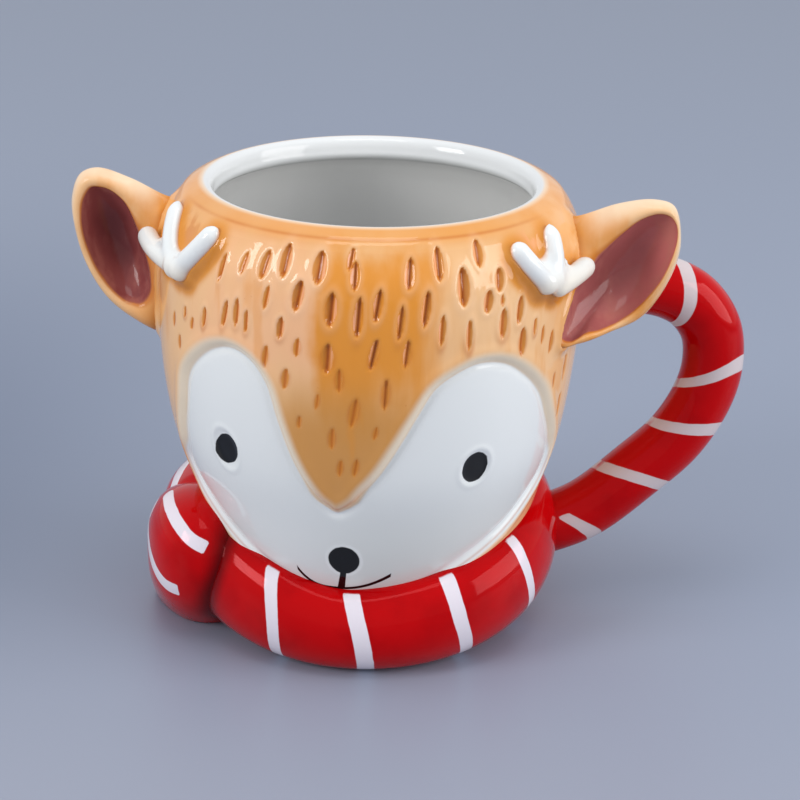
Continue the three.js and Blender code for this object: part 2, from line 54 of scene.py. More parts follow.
# Vessel
HEIGHT = HEAD_TOP[2]
HEAD_RADIUS = HEAD_TOP[1]
WALL = 4.6
BASE_RADIUS = 27
CUP_FLOOR = 7
SIDE_STATIONS = [
    (28.2, 1.2), (32.5, 9), (37, 20), (42, 36), (46.7, 52), (HEAD_RADIUS, HEIGHT - 31),
    (HEAD_RADIUS - 1, HEIGHT - 11.5), (45.2, HEIGHT - 4), (43.5, HEIGHT - 1.9), (41, HEIGHT - 0.7),
]
# The rim's radii, each with its drop below the crest
RIM_STATIONS = [(radius, HEIGHT - drop) for radius, drop in (
    (45.2, 4), (43.5, 1.9), (41.2, 0.6), (39, 0), (37.7, 0.6), (37.1, 1.7), (36.8, 3), (36.6, 4.1),
    (36.9, 4.9), (38.2, 5.9),
)]
INSIDE_STATIONS = [
    (38.2, HEIGHT - 5.9), (41.2, HEIGHT - 11.5), (HEAD_RADIUS - WALL, HEIGHT - 31), (42.1, 52), (37.4, 36),
    (31.8, 20), (25.5, 10.6), (20.5, 7.6), (16, CUP_FLOOR),
]
CHEEK_FULLNESS = 0.7
CHEEK_FULLNESS_HEIGHT = 60
CHEEK_FULLNESS_REACH = 26
# A shallow groove round the front of the fur, just below the rim
GROOVE_DROP = 1.75
GROOVE_DEPTH = 0.25
GROOVE_HALF = 0.4
# The mesh's columns are closest together over the face, out to the first angle
HEAD_FACE_ANGLE = 66
HEAD_SIDE_ANGLE = 104

# Face panel
FACE_RECESS = 1.0
FACE_BEVEL = 2.4
# Its floor rises again by a crown towards the middle. A dip runs along its edge and a ridge round it
FACE_CROWN = 0.35
FACE_CROWN_REACH = 5
FACE_DIP = 0.35
FACE_DIP_HALF = 0.9
FACE_RIDGE = 0.22
FACE_RIDGE_HALF = 1.3
OFF_FACE = -9.0
FACE_LOW = 19
FACE_HIGH = HEIGHT - 26.1
FACE_SCALE = math.radians((46.7 + HEAD_RADIUS) / 2)
FACE_PEAK = (-1.9, 0.412)
LEFT_FACE_EDGE = [
    (-6, 0.462), (-11.3, 0.588), (-15, 0.731), (-18.5, 0.882), (-24.5, 0.973), (-31.5, 1), (-38.5, 0.975),
    (-46, 0.906), (-52.5, 0.811), (-56.5, 0.676), (-62, 0.509), (-67, 0.39), (-64.5, 0.3), (-54, 0.21),
    (-42, 0.12), (-28, 0.035), (-12, -0.035),
]
RIGHT_FACE_EDGE = [
    (1.2, 0.44), (3.8, 0.49), (8, 0.56), (13.2, 0.676), (17.9, 0.795), (22.5, 0.895), (29.5, 0.955),
    (37, 0.981), (46, 0.957), (55.6, 0.873), (63, 0.779), (69, 0.668), (75.5, 0.556), (80, 0.453),
    (78.5, 0.342), (70, 0.265), (58, 0.175), (42, 0.085), (25, 0), (12, -0.035),
]
FACE_CHIN = (0, -0.05)

# Painted spots: angle, height, half width and half height in millimetres, lean in degrees
LEFT_EYE = (-36.1, 54.2, 3.25, 4.35, -41)
RIGHT_EYE = (38.5, 52.8, 3.4, 3.85, 0)
NOSE = (-0.6, 29.3, 3.5, 3.85, 0)
EYE_DIMPLE = 0.5
EYE_BRIM = 0.2
EYE_SCALE = math.radians(46.4)
NOSE_SCALE = math.radians(38.9)
# Mouth: the angle and height of its lowest point, its two ends, and how far they rise
MOUTH_ANGLE = -4
MOUTH_HEIGHT = 20.8
MOUTH_LEFT = 13.6
MOUTH_RIGHT = 19.2
MOUTH_RISE = 4.2
MOUTH_HALF = 0.36

# Strokes cut into the fur: angle, height, width, length and depth in millimetres
STROKES = [
    (-35, 97.4, 1.5, 6.5, 0.7), (-28, 99.4, 1.9, 5.4, 0.35), (-21.6, 100, 2.5, 6.4, 0.8),
    (-15.9, 101.4, 2.7, 7.2, 1.1), (-6.4, 100.8, 3.3, 7, 1.1), (1.8, 102.8, 1.8, 4.8, 0.8),
    (3, 99.6, 2.1, 6.2, 1), (-20, 93.4, 1.7, 5.8, 0.3), (-11.4, 94.7, 2.7, 7.2, 1.1),
    (-15.8, 87.2, 1.8, 5.3, 0.7), (-2.8, 92.4, 2.8, 8, 1.2), (4.1, 91, 2.2, 9.4, 1),
    (-3.5, 81.5, 2.8, 7.6, 0.9), (-11.3, 83.4, 1.8, 4.6, 0.3), (-20, 80.1, 1.5, 6, 0.45),
    (-14.5, 75.8, 1.9, 5.4, 0.4), (8, 82.8, 1.9, 7.8, 1), (8.9, 93.6, 2.1, 7.6, 1),
    (-40.2, 85.3, 1.5, 5.2, 0.5), (-32.6, 87.7, 1.6, 6.9, 0.6), (-28.8, 88.7, 1.7, 6.8, 0.6),
    (-25.7, 87.2, 1.3, 5.6, 0.45), (17.1, 100, 2.3, 6.8, 1), (25, 101.6, 2.4, 7.2, 1.1),
    (31.2, 96.5, 3.2, 8.8, 1.2), (36.8, 102.8, 2.6, 5.7, 0.9), (41.9, 96.9, 2.5, 5.4, 0.8),
    (38.1, 92.7, 2.7, 5.4, 0.7), (21.1, 92.6, 2.1, 8.4, 1), (14.6, 89.8, 1.7, 8.2, 0.8),
    (16.3, 82.9, 1.7, 7, 0.8), (25.2, 87.7, 1.7, 7.4, 0.5), (32.6, 86, 1.7, 7.5, 0.4),
    (42.7, 87.2, 2.4, 7.3, 0.6), (48.3, 89.3, 2.2, 6.8, 0.7), (49.6, 81.7, 2.4, 7.2, 0.8),
    (54.1, 84.5, 1.2, 4.4, 0.3), (-0.5, 76.6, 1.8, 6, 0.5), (3.2, 69.2, 2.1, 7.8, 0.5),
    (11.1, 73.6, 1.8, 8, 0.7), (-2.4, 62.7, 1.6, 5.9, 0.4), (8.8, 64.4, 1.1, 3.6, 0.25),
    (-0.4, 55.4, 1.4, 4.8, 0.3), (3.7, 55.7, 1.4, 5.2, 0.35), (-11, 66, 1, 3.6, 0.4),
    (-6.1, 71.4, 1.1, 4.4, 0.2), (-52.2, 76.4, 1.3, 4, 0.3), (-55.3, 81, 1.3, 4, 0.3),
    (-48.8, 84.4, 1.2, 3, 0.25), (-45.5, 82.5, 1.3, 3.4, 0.3), (57.7, 81.7, 1.2, 4.6, 0.35),
    (62, 79, 1.4, 6, 0.5), (73, 70, 1.5, 7, 0.5), (66.2, 68.7, 1.3, 4, 0.3),
    (73, 60.5, 1.5, 6.4, 0.4), (42.4, 92.4, 1.3, 2.8, 0.25),
]
STROKE_LEAN = 6
STROKE_LEAN_SPREAD = 5
STROKE_SEED = 7
# How much of its written depth a stroke is cut, how far its floor leans to one side, the brim that is
# raised round the strokes of the forehead, and the height at which those start
STROKE_SHARE = 0.78
STROKE_TILT = 0.35
STROKE_BRIM = 0.16
STROKE_BRIM_FROM = 84

# Scarf
SCARF_FRONT_TOP = 20.5
SCARF_LEFT_TOP = 34.4
SCARF_RIGHT_TOP = 34.5
SCARF_BACK_TOP = 36
# At the front and at the sides: the radius on the table, the widest radius and the height of that
SCARF_FOOT = (34.6, 29)
SCARF_RADIUS = (43, 46.1)
SCARF_WAIST = (10.5, 19.5)
SCARF_SIDE_ANGLE = 95
SCARF_RIGHT_RISE = 1.35
SCARF_LEFT_ANGLE = 80
SCARF_CHIN_ANGLE = 10
SCARF_FOLD_ANGLE = -93
SCARF_FOLD_REACH = 26
SCARF_FOLD_BULGE = 5.2
SCARF_FOLD_LIFT = 2
SCARF_SEAT_DEPTH = 1.5

# White bands of the scarf loop: the angle at the upper, the middle and the lower mark, then the width
BAND_HIGH = 25
BAND_LOW = 3
BAND_TOP_GAP = 0.4
# A band is slanted: this share of the way round the loop lies straight across it
BAND_SLANT = 0.96
LOOP_BANDS = [
    (-27.6, -23, -23.9, 3), (-1, 4.7, 7.1, 3.8), (34.6, 36.8, 43, 3.5), (62.6, 67, 77.5, 2.9),
    (126, 131, 138, 3.4), (156, 160, 163, 3.6), (-172, -173, -174, 3.6), (-146, -149, -153, 3.5),
    (-119, -123, -128, 3.4),
]
# A band over the loop's left shoulder: angle, height and radius along its middle line, then its half width
SHOULDER_BAND = (
    [(-97, 33.4, 43.6), (-93, 32.4, 46), (-88.2, 31.6, 46.6), (-84, 30.7, 47.1), (-80, 29, 48)], 1.9,
)

END_ANGLE = -73
END_WIDTH = 43
END_HEIGHT = 34
END_THICKNESS = 9
END_SEAT_RADIUS = 45
END_SEAT_DEPTH = 4.5
END_BACK_DEPTH = 9
END_BACK = [(0.62, 1), (0.84, 0.9), (0.95, 0.72)]
END_FOOT_SPREAD = 13
END_LEAN = 0.3
END_SLANT = 0.6
END_TUCK = 3.2
# How far the painted shade in the crease between the scarf's two pieces reaches, and how far round to the
# left it begins
CREASE_REACH = 4.5
CREASE_START = 68
END_TOP_SQUARENESS = 2.1
END_FOOT_SQUARENESS = 2.9
# White bands of the scarf's end, given in the same way
END_BANDS = [
    ([(-73, 31.5, 48.9), (-63.3, 30.9, 49.4), (-56.2, 29.3, 49.2), (-51, 27.4, 48.2),
      (-47.6, 25.9, 46)], 1.55),
    ([(-78, 24, 54), (-73, 21.5, 54), (-69.1, 19.1, 53.8), (-65, 16.9, 53.7), (-61.4, 15.1, 53.1),
      (-58, 14, 52.1), (-54.1, 13.8, 50.5)], 1.75),
    ([(-86, 31, 49.5), (-80, 29.5, 51.2), (-75.5, 27.5, 52.2), (-75, 24.8, 53.2)], 0.9),
]

# Ears
EAR_FRONT = 6
EAR_ROOT_RADIUS = 43
EAR_TOP_RISE = 0.8
EAR_DEPTH = 8.6
EAR_CUP_DEPTH = 5
EAR_LIP = 1.6
EAR_EDGE_LEAST = 0.7
EAR_WRAP_RISE = 0.36
EAR_ROOT_DEPTH = 2.2
EAR_FRONT_STANDOFF = 0.3
EARS = {
    "left": {
        "side": -1, "span": 26.8, "height": 40, "wrap": 2, "dark": 0.85,
        "shape": [
            (0, 0.84), (0.15, 0.85), (0.48, 0.948), (0.77, 1.0), (0.92, 0.958), (1.0, 0.82), (0.985, 0.64),
            (0.9, 0.43), (0.71, 0.214), (0.47, 0.09), (0.22, 0.015), (0, 0.02),
        ],
        "cup": [
            (64.6, 104.4), (62.4, 104.6), (60.1, 104), (56.9, 101.3), (54.4, 95.8), (52.6, 90),
            (51.3, 84.5), (51.5, 80), (53.4, 77.3), (56.6, 77.4), (60, 79.9), (63.3, 84.2),
            (65.4, 88.6), (66.7, 92.9), (67.1, 97.6), (66.5, 101.5),
        ],
    },
    "right": {
        "side": 1, "span": 27.8, "height": 37, "wrap": 12, "dark": 0.25,
        "shape": [
            (0, 0.84), (0.15, 0.85), (0.49, 0.945), (0.77, 0.98), (0.93, 0.945), (1.0, 0.75), (0.98, 0.59),
            (0.86, 0.366), (0.71, 0.215), (0.47, 0.112), (0.23, 0.024), (0, 0),
        ],
        "cup": [
            (65.7, 105.2), (68.2, 104.6), (69.6, 102.6), (69.9, 99.6), (69, 95.3), (66.9, 89.9),
            (63, 84.3), (58.7, 80.1), (54.3, 77.4), (50.8, 76.2), (47.9, 74), (45.8, 74.4),
            (45, 78.3), (46.6, 83), (49.5, 88.8), (53.3, 95), (57.6, 100), (61.8, 103.7),
        ],
    },
}

# Antlers: each prong runs from a root to a tip, as degrees outward and a share of the rise
ANTLER_DROP = 13.5
ANTLER_RISE = 10
ANTLER_WIDTH = 4.2
ANTLER_PALM_WIDTH = 7.2
ANTLER_PALM_RISE = 2.4
ANTLER_PALM_DROP = 3.2
ANTLER_STANDOFF = 0.7
ANTLER_TIP_LIFT = 2.6
ANTLER_WEB = 2.4
ANTLER_FILL = 1.1
ANTLER_VOXEL = 0.4
# The palm is two bars. For its upper and its lower end: degrees outward, and how far the bars part there
ANTLER_PALM_ENDS = ((-1.4, 1.5), (-2, 0.12))
ANTLERS = {
    "left": {
        "side": -1, "angle": -53.5,
        "inner": ((-2, -0.1), (-13.6, 1)), "middle": ((0, -0.1), (11.6, 1.04)),
        "outer": ((1, -0.05), (25, 0.06)),
    },
    "right": {
        "side": 1, "angle": 60.5,
        "inner": ((-1.5, -0.2), (-12.6, 0.9)), "middle": ((0, -0.1), (3.8, 0.98)),
        "outer": ((-1, -0.28), (16, -0.02)),
    },
}

# Where a piece grows out of the head: how high the head's skin rises and how far off that starts,
# then how far the glaze pools round the piece and how strongly
EAR_JOINT = (1.1, 3.2, 1.6, 0.55)
ANTLER_JOINT = (0.9, 2.4, 2.9, 1.25)
HANDLE_JOINT = (1.2, 3.0, 1, 0)
# How far off the head's skin looks for a piece, the drop over which a pool of glaze builds up, and the
# ear's mark just outside its cup
JOINT_SEARCH = 8
POOL_SLOPE = 1.6
BESIDE_CUP = 1.05

# Handle
HANDLE_ANGLE = 103
HANDLE_HALF = 7.4
HANDLE_REACH = 83.2
HANDLE_TOP = HEIGHT - 26
HANDLE_FOOT = 18
HANDLE_ROOT_DEPTH = 2
HANDLE_STATIONS = [
    (41, HANDLE_TOP + 0.6), (55, HANDLE_TOP + 0.4), (64.5, HANDLE_TOP - 0.2), (71.8, HANDLE_TOP - 2),
    (77.4, HANDLE_TOP - 5.4), (HANDLE_REACH - 1.2, HANDLE_TOP - 12), (HANDLE_REACH, HANDLE_TOP - 20),
    (HANDLE_REACH - 1.6, HANDLE_TOP - 28.6), (75.4, HANDLE_TOP - 39.8), (65.8, HANDLE_TOP - 49),
    (54.2, HANDLE_FOOT + 5.6), (46, HANDLE_FOOT + 2), (37, HANDLE_FOOT),
]
# White rings: length along the handle, slant towards the inside, slant towards the front, and how far
# inwards each reaches, where 1 is all the way round
HANDLE_BANDS = [
    (33.1, 3, -1, 1), (58.6, 3.9, 3.5, 1), (72.9, 3.8, 2.6, 1), (90.5, 4.2, 2.6, 1),
    (112.6, 4.8, 5.5, 0.5),
]
HANDLE_BAND_WIDTH = 3.1
# The same share for the handle's rings
HANDLE_BAND_SLANT = 0.93

# Camera, matched to the photograph's view
CAMERA_AZIMUTH = 6.5
CAMERA_ELEVATION = 21.5
CAMERA_ROLL = 1.2
CAMERA_DISTANCE = 0.5
CAMERA_LENS = 93.87
CAMERA_SENSOR = 36
CAMERA_TARGET_HEIGHT = 0.0531
CAMERA_TARGET_RIGHT = 0.0071

# Table, in metres
TABLE_HALF = 30.0
TABLE_DROP = 0.00005

# Lights: azimuth, elevation, distance, width, height, and radiance, where a lit white surface has 1
SOFTBOXES = [
    ("left_window", -53, 26, 1.0, 0.36, 0.36, 9.5), ("right_window", 80, 20, 1.0, 0.66, 0.6, 4.3),
    ("ceiling", 10, 78, 1.1, 0.56, 0.46, 2.95),
]
DAYLIGHT_STRENGTH = 0.85


def rgb(red, green, blue):
    """A colour written in display values of 0 to 255, as the shader's linear colour."""
    def linear(value):
        share = value / 255
        return share / 12.92 if share <= 0.04045 else ((share + 0.055) / 1.055) ** 2.4
    return (linear(red), linear(green), linear(blue), 1.0)


FUR_PEACH = rgb(238, 190, 138)
FUR_PINK = rgb(242, 182, 138)
FUR_ORANGE = rgb(225, 144, 46)
FUR_TAN = rgb(204, 142, 70)
FUR_BROWN = rgb(190, 98, 8)
FUR_DARK = rgb(140, 62, 4)
FUR_PALE = rgb(244, 204, 168)
DRIP_PINK = rgb(246, 176, 132)
STROKE_GOLD = rgb(216, 140, 46)
# A painted highlight along one wall of each stroke
STROKE_PINK_HIGHLIGHT = rgb(246, 178, 140)
POOL_BROWN = rgb(176, 104, 24)
SEAM_BROWN = rgb(196, 136, 108)
CREAM = rgb(238, 224, 200)
WHITE_GLAZE = rgb(230, 233, 232)
RIM_WHITE = rgb(222, 224, 224)
# Painted shade on the white face, greying it towards the bottom and the right
PANEL_SHADE_GREY = rgb(202, 205, 201)
INSIDE_GLAZE = rgb(216, 216, 214)
INK = rgb(10, 10, 12)
MAUVE = {"left": rgb(146, 74, 74), "right": rgb(190, 108, 106)}
MAUVE_DEEP = rgb(104, 48, 50)
MAUVE_PALE = rgb(186, 118, 106)
RED = rgb(186, 4, 8)
RED_DEEP = rgb(148, 0, 4)
# Painted shade for the crease where the scarf's loop and loose end press together
RED_CREASE_SHADE = rgb(84, 0, 2)
BAND_WHITE = rgb(226, 220, 228)
HANDLE_BAND_WHITE = rgb(206, 194, 196)
# Table colours: its ground, painted shade to the left of the mug, and painted light towards the front
TABLE_BLUE = rgb(139, 149, 169)
TABLE_SHADE = rgb(92, 104, 128)
TABLE_FRONT_LIGHT = rgb(150, 154, 168)
DAYLIGHT = rgb(232, 235, 241)
LAMP_WHITE = (1.0, 0.985, 0.97)


def smooth(t):
    x = np.clip(t, 0, 1)
    return x * x * (3 - 2 * x)


def mix(a, b, t):
    return a + (b - a) * t


def hill(t):
    """1 at nought, falling away to both sides."""
    return np.exp(-t ** 2)


def squared_off(t, power):
    """The same, flatter on top and steeper beside it."""
    return np.exp(-np.abs(t) ** power)


def curve_through(knots, closed=False, steps=24):
    """Points along a smooth centripetal curve through the knots."""
    knots = np.array(knots, float)
    if closed:
        knots = np.concatenate([knots[-1:], knots, knots[:2]])
    else:
        knots = np.concatenate([[2 * knots[0] - knots[1]], knots, [2 * knots[-1] - knots[-2]]])
    gaps = np.linalg.norm(np.diff(knots, axis=0), axis=1) ** 0.5
    points = []
    for i, gap in enumerate(gaps[1:-1]):
        before, here, ahead, beyond = knots[i:i + 4]
        gap_in, gap_out = gaps[i], gaps[i + 2]
        leave = ((here - before) / gap_in - (ahead - before) / (gap_in + gap) + (ahead - here) / gap) * gap
        swing = (beyond - here) / (gap + gap_out)
        arrive = ((ahead - here) / gap - swing + (beyond - ahead) / gap_out) * gap
        for t in np.arange(steps) / steps:
            bend = (-3 * here + 3 * ahead - 2 * leave - arrive) * t ** 2
            turn = (2 * here - 2 * ahead + leave + arrive) * t ** 3
            points.append(here + leave * t + bend + turn)
    if not closed:
        points.append(knots[-2])
    return np.array(points)


def lengths_along(points):
    return np.concatenate([[0], np.cumsum(np.linalg.norm(np.diff(points, axis=0), axis=1))])


def evenly(points, count):
    """Points spaced evenly along an open line."""
    along = lengths_along(points)
    wanted = np.linspace(0, along[-1], count)
    return np.stack([np.interp(wanted, along, points[:, k]) for k in range(points.shape[1])], axis=1)


def full_turn(count):
    """Angles in radians, evenly round a ring."""
    return np.linspace(0, 2 * math.pi, count, endpoint=False)


SIDE_CURVE = curve_through(SIDE_STATIONS)


def side_radius(z):
    return np.interp(z, SIDE_CURVE[:, 1], SIDE_CURVE[:, 0])


def head_radius(theta, z):
    fullness = CHEEK_FULLNESS * hill((z - CHEEK_FULLNESS_HEIGHT) / CHEEK_FULLNESS_REACH)
    return side_radius(z) - fullness * np.sin(np.radians(theta))


def on_round(theta, radius, z):
    """Points at an angle, a radius and a height, as rows of x, y, z."""
    theta, radius, z = np.broadcast_arrays(np.radians(theta), radius, z)
    return np.stack([radius * np.sin(theta), -radius * np.cos(theta), z], axis=-1)


def scarf_top(theta):
    turn = np.abs(theta)
    soft = np.hypot(turn, SCARF_CHIN_ANGLE) - SCARF_CHIN_ANGLE
    left = np.minimum(1, soft / (math.hypot(SCARF_LEFT_ANGLE, SCARF_CHIN_ANGLE) - SCARF_CHIN_ANGLE))
    right = np.minimum(1, turn / SCARF_SIDE_ANGLE) ** SCARF_RIGHT_RISE
    behind = smooth((turn - SCARF_SIDE_ANGLE) / (180 - SCARF_SIDE_ANGLE))
    side = np.where(theta < 0, mix(SCARF_FRONT_TOP, SCARF_LEFT_TOP, left),
                    mix(SCARF_FRONT_TOP, SCARF_RIGHT_TOP, right))
    return mix(side, SCARF_BACK_TOP, behind)


def face_outline():
    """The face's outline, as millimetres along the surface and up."""
    def half(edge):
        marks = [FACE_PEAK, *edge, FACE_CHIN]
        knots = [(theta * FACE_SCALE, mix(FACE_LOW, FACE_HIGH, share)) for theta, share in marks]
        return evenly(curve_through(knots), 90)
    return np.concatenate([half(RIGHT_FACE_EDGE), half(LEFT_FACE_EDGE)[-2:0:-1]])


def distance_to(points, start, end):
    """Distance from each point to the straight line between two points."""
    edge = end - start
    away = points - start
    share = np.clip(away @ edge / max(edge @ edge, 1e-12), 0, 1)
    return np.linalg.norm(away - share[:, None] * edge, axis=1)


def inside_distance(points, outline):
    """Distance from each point to a closed outline, positive inside it."""
    nearest = np.full(len(points), 1e9)
    crossings = np.zeros(len(points), int)
    for start, end in zip(outline, np.roll(outline, -1, axis=0)):
        nearest = np.minimum(nearest, distance_to(points, start, end))
        edge = end - start
        spans = (start[1] > points[:, 1]) != (end[1] > points[:, 1])
        rise = edge[1] if abs(edge[1]) > 1e-12 else 1e-12
        crossings += spans & (points[:, 0] < start[0] + (points[:, 1] - start[1]) / rise * edge[0])
    return np.where(crossings % 2 == 1, nearest, -nearest)


def ring_faces(rows, columns):
    """Quads between rows of equally many points, each row a ring."""
    faces = []
    for start in range(0, (rows - 1) * columns, columns):
        above = start + columns
        for k in range(columns):
            ahead = (k + 1) % columns
            faces.append((start + k, start + ahead, above + ahead, above + k))
    return faces


def tip_faces(first_tip, last_tip, last_row, columns):
    """Triangles that close the first ring onto one point and the last ring onto another."""
    faces = []
    for k in range(columns):
        ahead = (k + 1) % columns
        faces.append((first_tip, ahead, k))
        faces.append((last_tip, last_row + k, last_row + ahead))
    return faces


def add_object(name, data):
    """Puts an object with the given mesh, lamp or camera into the scene."""
    thing = bpy.data.objects.new(name, data)
    bpy.context.scene.collection.objects.link(thing)
    return thing


def make_piece(name, vertices, faces):
    """A smooth mesh object from points in millimetres."""
    mesh = bpy.data.meshes.new(name)
    mesh.from_pydata([tuple(point) for point in np.asarray(vertices) * MM], [], faces)
    mesh.update()
    mesh.shade_smooth()
    return add_object(name, mesh)


def set_field(piece, name, values):
    """Stores one number for each vertex, which the materials read by name."""
    attribute = piece.data.attributes.new(name, "FLOAT", "POINT")
    attribute.data.foreach_set("value", np.asarray(values, np.float32))


def dress(piece, node, material):
    piece.data.materials.append(material)
    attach(piece, "root")
    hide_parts(node)


def points_of(piece):
    flat = np.empty(len(piece.data.vertices) * 3)
    piece.data.vertices.foreach_get("co", flat)
    return flat.reshape(-1, 3) / MM


def surface_of(piece):
    """A search tree of a piece's surface, in millimetres."""
    corners = [tuple(point) for point in points_of(piece)]
    return BVHTree.FromPolygons(corners, [tuple(face.vertices) for face in piece.data.polygons])


def above_head(points):
    """How far points lie outside the head's surface, negative inside it."""
    theta = np.degrees(np.arctan2(points[:, 0], -points[:, 1]))
    return np.hypot(points[:, 0], points[:, 1]) - head_radius(theta, points[:, 2])


def keep_outside_cavity(points, depth):
    """Moves the points that lie deeper than a depth below the head's surface out to that depth."""
    radius = np.maximum(np.hypot(points[:, 0], points[:, 1]), 1e-6)
    scale = 1 + np.maximum(0, -depth - above_head(points)) / radius
    return np.column_stack([points[:, 0] * scale, points[:, 1] * scale, points[:, 2]])


class Field:
    """A number at every point of a surface, built from shader nodes by plain arithmetic."""

    def __init__(self, tree, socket):
        self.tree = tree
        self.socket = socket

    def feed(self, slot, value):
        if isinstance(value, Field):
            self.tree.links.new(value.socket, slot)
        else:
            slot.default_value = value

    def math(self, operation, *values):
        node = self.tree.nodes.new("ShaderNodeMath")
        node.operation = operation
        for slot, value in zip(node.inputs, (self, *values)):
            self.feed(slot, value)
        return Field(self.tree, node.outputs[0])

    def __add__(self, other):
        return self.math("ADD", other)

    def __sub__(self, other):
        return self.math("SUBTRACT", other)

    def __mul__(self, other):
        return self.math("MULTIPLY", other)

    def __truediv__(self, other):
        return self.math("DIVIDE", other)

    def at_least(self, other):
        return self.math("MAXIMUM", other)

    def size(self):
        return self.math("ABSOLUTE")

    def power(self, exponent):
        return self.math("POWER", exponent)

    def rise(self, low, high):
        """0 below low, 1 above high, smooth between; falls where low is the larger."""
        node = self.tree.nodes.new("ShaderNodeMapRange")
        node.interpolation_type = "SMOOTHSTEP"
        self.feed(node.inputs["Value"], self)
        falls = low > high
        node.inputs["From Min"].default_value = min(low, high)
        node.inputs["From Max"].default_value = max(low, high)
        node.inputs["To Min"].default_value = 1.0 if falls else 0.0
        node.inputs["To Max"].default_value = 0.0 if falls else 1.0
        return Field(self.tree, node.outputs["Result"])

    def hill(self, middle, reach):
        """1 at the middle, falling away to both sides over the reach."""
        away = (self - middle) / reach
        return (away * away * -1).math("EXPONENT")


class Glaze:
    """A glazed ceramic material whose colour is painted layer on layer."""

    def __init__(self, name, ground, roughness=0.09, mirror=0.5):
        self.material = bpy.data.materials.new(name)
        self.material.use_nodes = True
        self.tree = self.material.node_tree
        self.shader = self.tree.nodes["Principled BSDF"]
        self.shader.inputs["Roughness"].default_value = roughness
        self.shader.inputs["IOR"].default_value = 1.5
        self.shader.inputs["Specular IOR Level"].default_value = mirror
        self.colour = ground

    def node(self, kind, **inputs):
        """A new node of this material with some of its inputs set."""
        node = self.tree.nodes.new(kind)
        for name, value in inputs.items():
            node.inputs[name].default_value = value
        return node

    def link(self, source, target):
        self.tree.links.new(source, target)

    def field(self, name):
        node = self.node("ShaderNodeAttribute")
        node.attribute_name = name
        return Field(self.tree, node.outputs["Fac"])

    def fields(self, *names):
        return [self.field(name) for name in names]

    def place(self, axis):
        """The object's own coordinate along an axis, in metres."""
        split = self.node("ShaderNodeSeparateXYZ")
        self.link(self.node("ShaderNodeTexCoord").outputs["Object"], split.inputs[0])
        return Field(self.tree, split.outputs[axis])

    def noise(self, scale, detail=2.0, stretch=(1, 1, 1), shift=0.0):
        """Soft noise about 0.5, with its scale in patches per metre."""
        mapping = self.node("ShaderNodeMapping", Scale=stretch, Location=(shift, shift, shift))
        texture = self.node("ShaderNodeTexNoise", Scale=scale, Detail=detail)
        self.link(self.node("ShaderNodeTexCoord").outputs["Object"], mapping.inputs["Vector"])
        self.link(mapping.outputs["Vector"], texture.inputs["Vector"])
        return Field(self.tree, texture.outputs["Fac"])

    def paint(self, colour, share):
        """Lays a colour over what is there, by a share from 0 to 1."""
        node = self.node("ShaderNodeMix")
        node.data_type = "RGBA"
        node.clamp_factor = True
        sockets = [socket for socket in node.inputs if socket.type == "RGBA"]
        for socket, value in zip(sockets, (self.colour, colour)):
            if isinstance(value, tuple):
                socket.default_value = value
            else:
                self.link(value, socket)
        self.link(share.socket, node.inputs["Factor"])
        self.colour = next(socket for socket in node.outputs if socket.type == "RGBA")

    def finish(self, waves, height=0.00006):
        """Joins the colour and a slight unevenness of the glaze to the shader."""
        bump = self.node("ShaderNodeBump", Strength=1.0, Distance=height)
        self.link(self.colour, self.shader.inputs["Base Color"])
        self.link(waves.socket, bump.inputs["Height"])
        self.link(bump.outputs["Normal"], self.shader.inputs["Normal"])
        return self.material


def spot_reach(turn, height, spot, scale):
    """Distance from a leaning oval spot's centre: 1 on its edge. The scale is millimetres per degree."""
    angle, middle, half_width, half_height, lean = spot
    across = (turn - angle) * scale
    up = height - middle
    cos, sin = math.cos(math.radians(lean)), math.sin(math.radians(lean))
    along = (across * cos + up * sin) / half_width
    beside = (up * cos - across * sin) / half_height
    return (along * along + beside * beside).power(0.5)


def paint_spot(glaze, reach):
    """A brushed black spot with a pale raised edge."""
    glaze.paint(WHITE_GLAZE, reach.hill(1.14, 0.1) * 0.8)
    glaze.paint(INK, reach.rise(1.04, 0.97))


def paint_mouth(glaze, turn, height, wobble):
    away = turn - MOUTH_ANGLE
    left = (away / -MOUTH_LEFT).at_least(0).power(3.4)
    right = (away / MOUTH_RIGHT).at_least(0).power(2.15)
    line = height - ((left + right) * MOUTH_RISE + MOUTH_HEIGHT)
    reach = line.size() / (left * 0.9 + right * 0.5 + 1) / MOUTH_HALF
    span = away.rise(-MOUTH_LEFT - 0.4, -MOUTH_LEFT) * away.rise(MOUTH_RIGHT + 0.4, MOUTH_RIGHT)
    glaze.paint(INK, (reach + wobble).rise(1.2, 0.8) * span)
    stem = (turn - (height * 0.23 - 6.9)).size() + (height - 21) * 0.07
    stem_span = height.rise(MOUTH_HEIGHT - 0.2, MOUTH_HEIGHT + 0.2) * height.rise(28, 27)
    glaze.paint(INK, (stem + wobble).rise(1.45, 1.25) * stem_span)


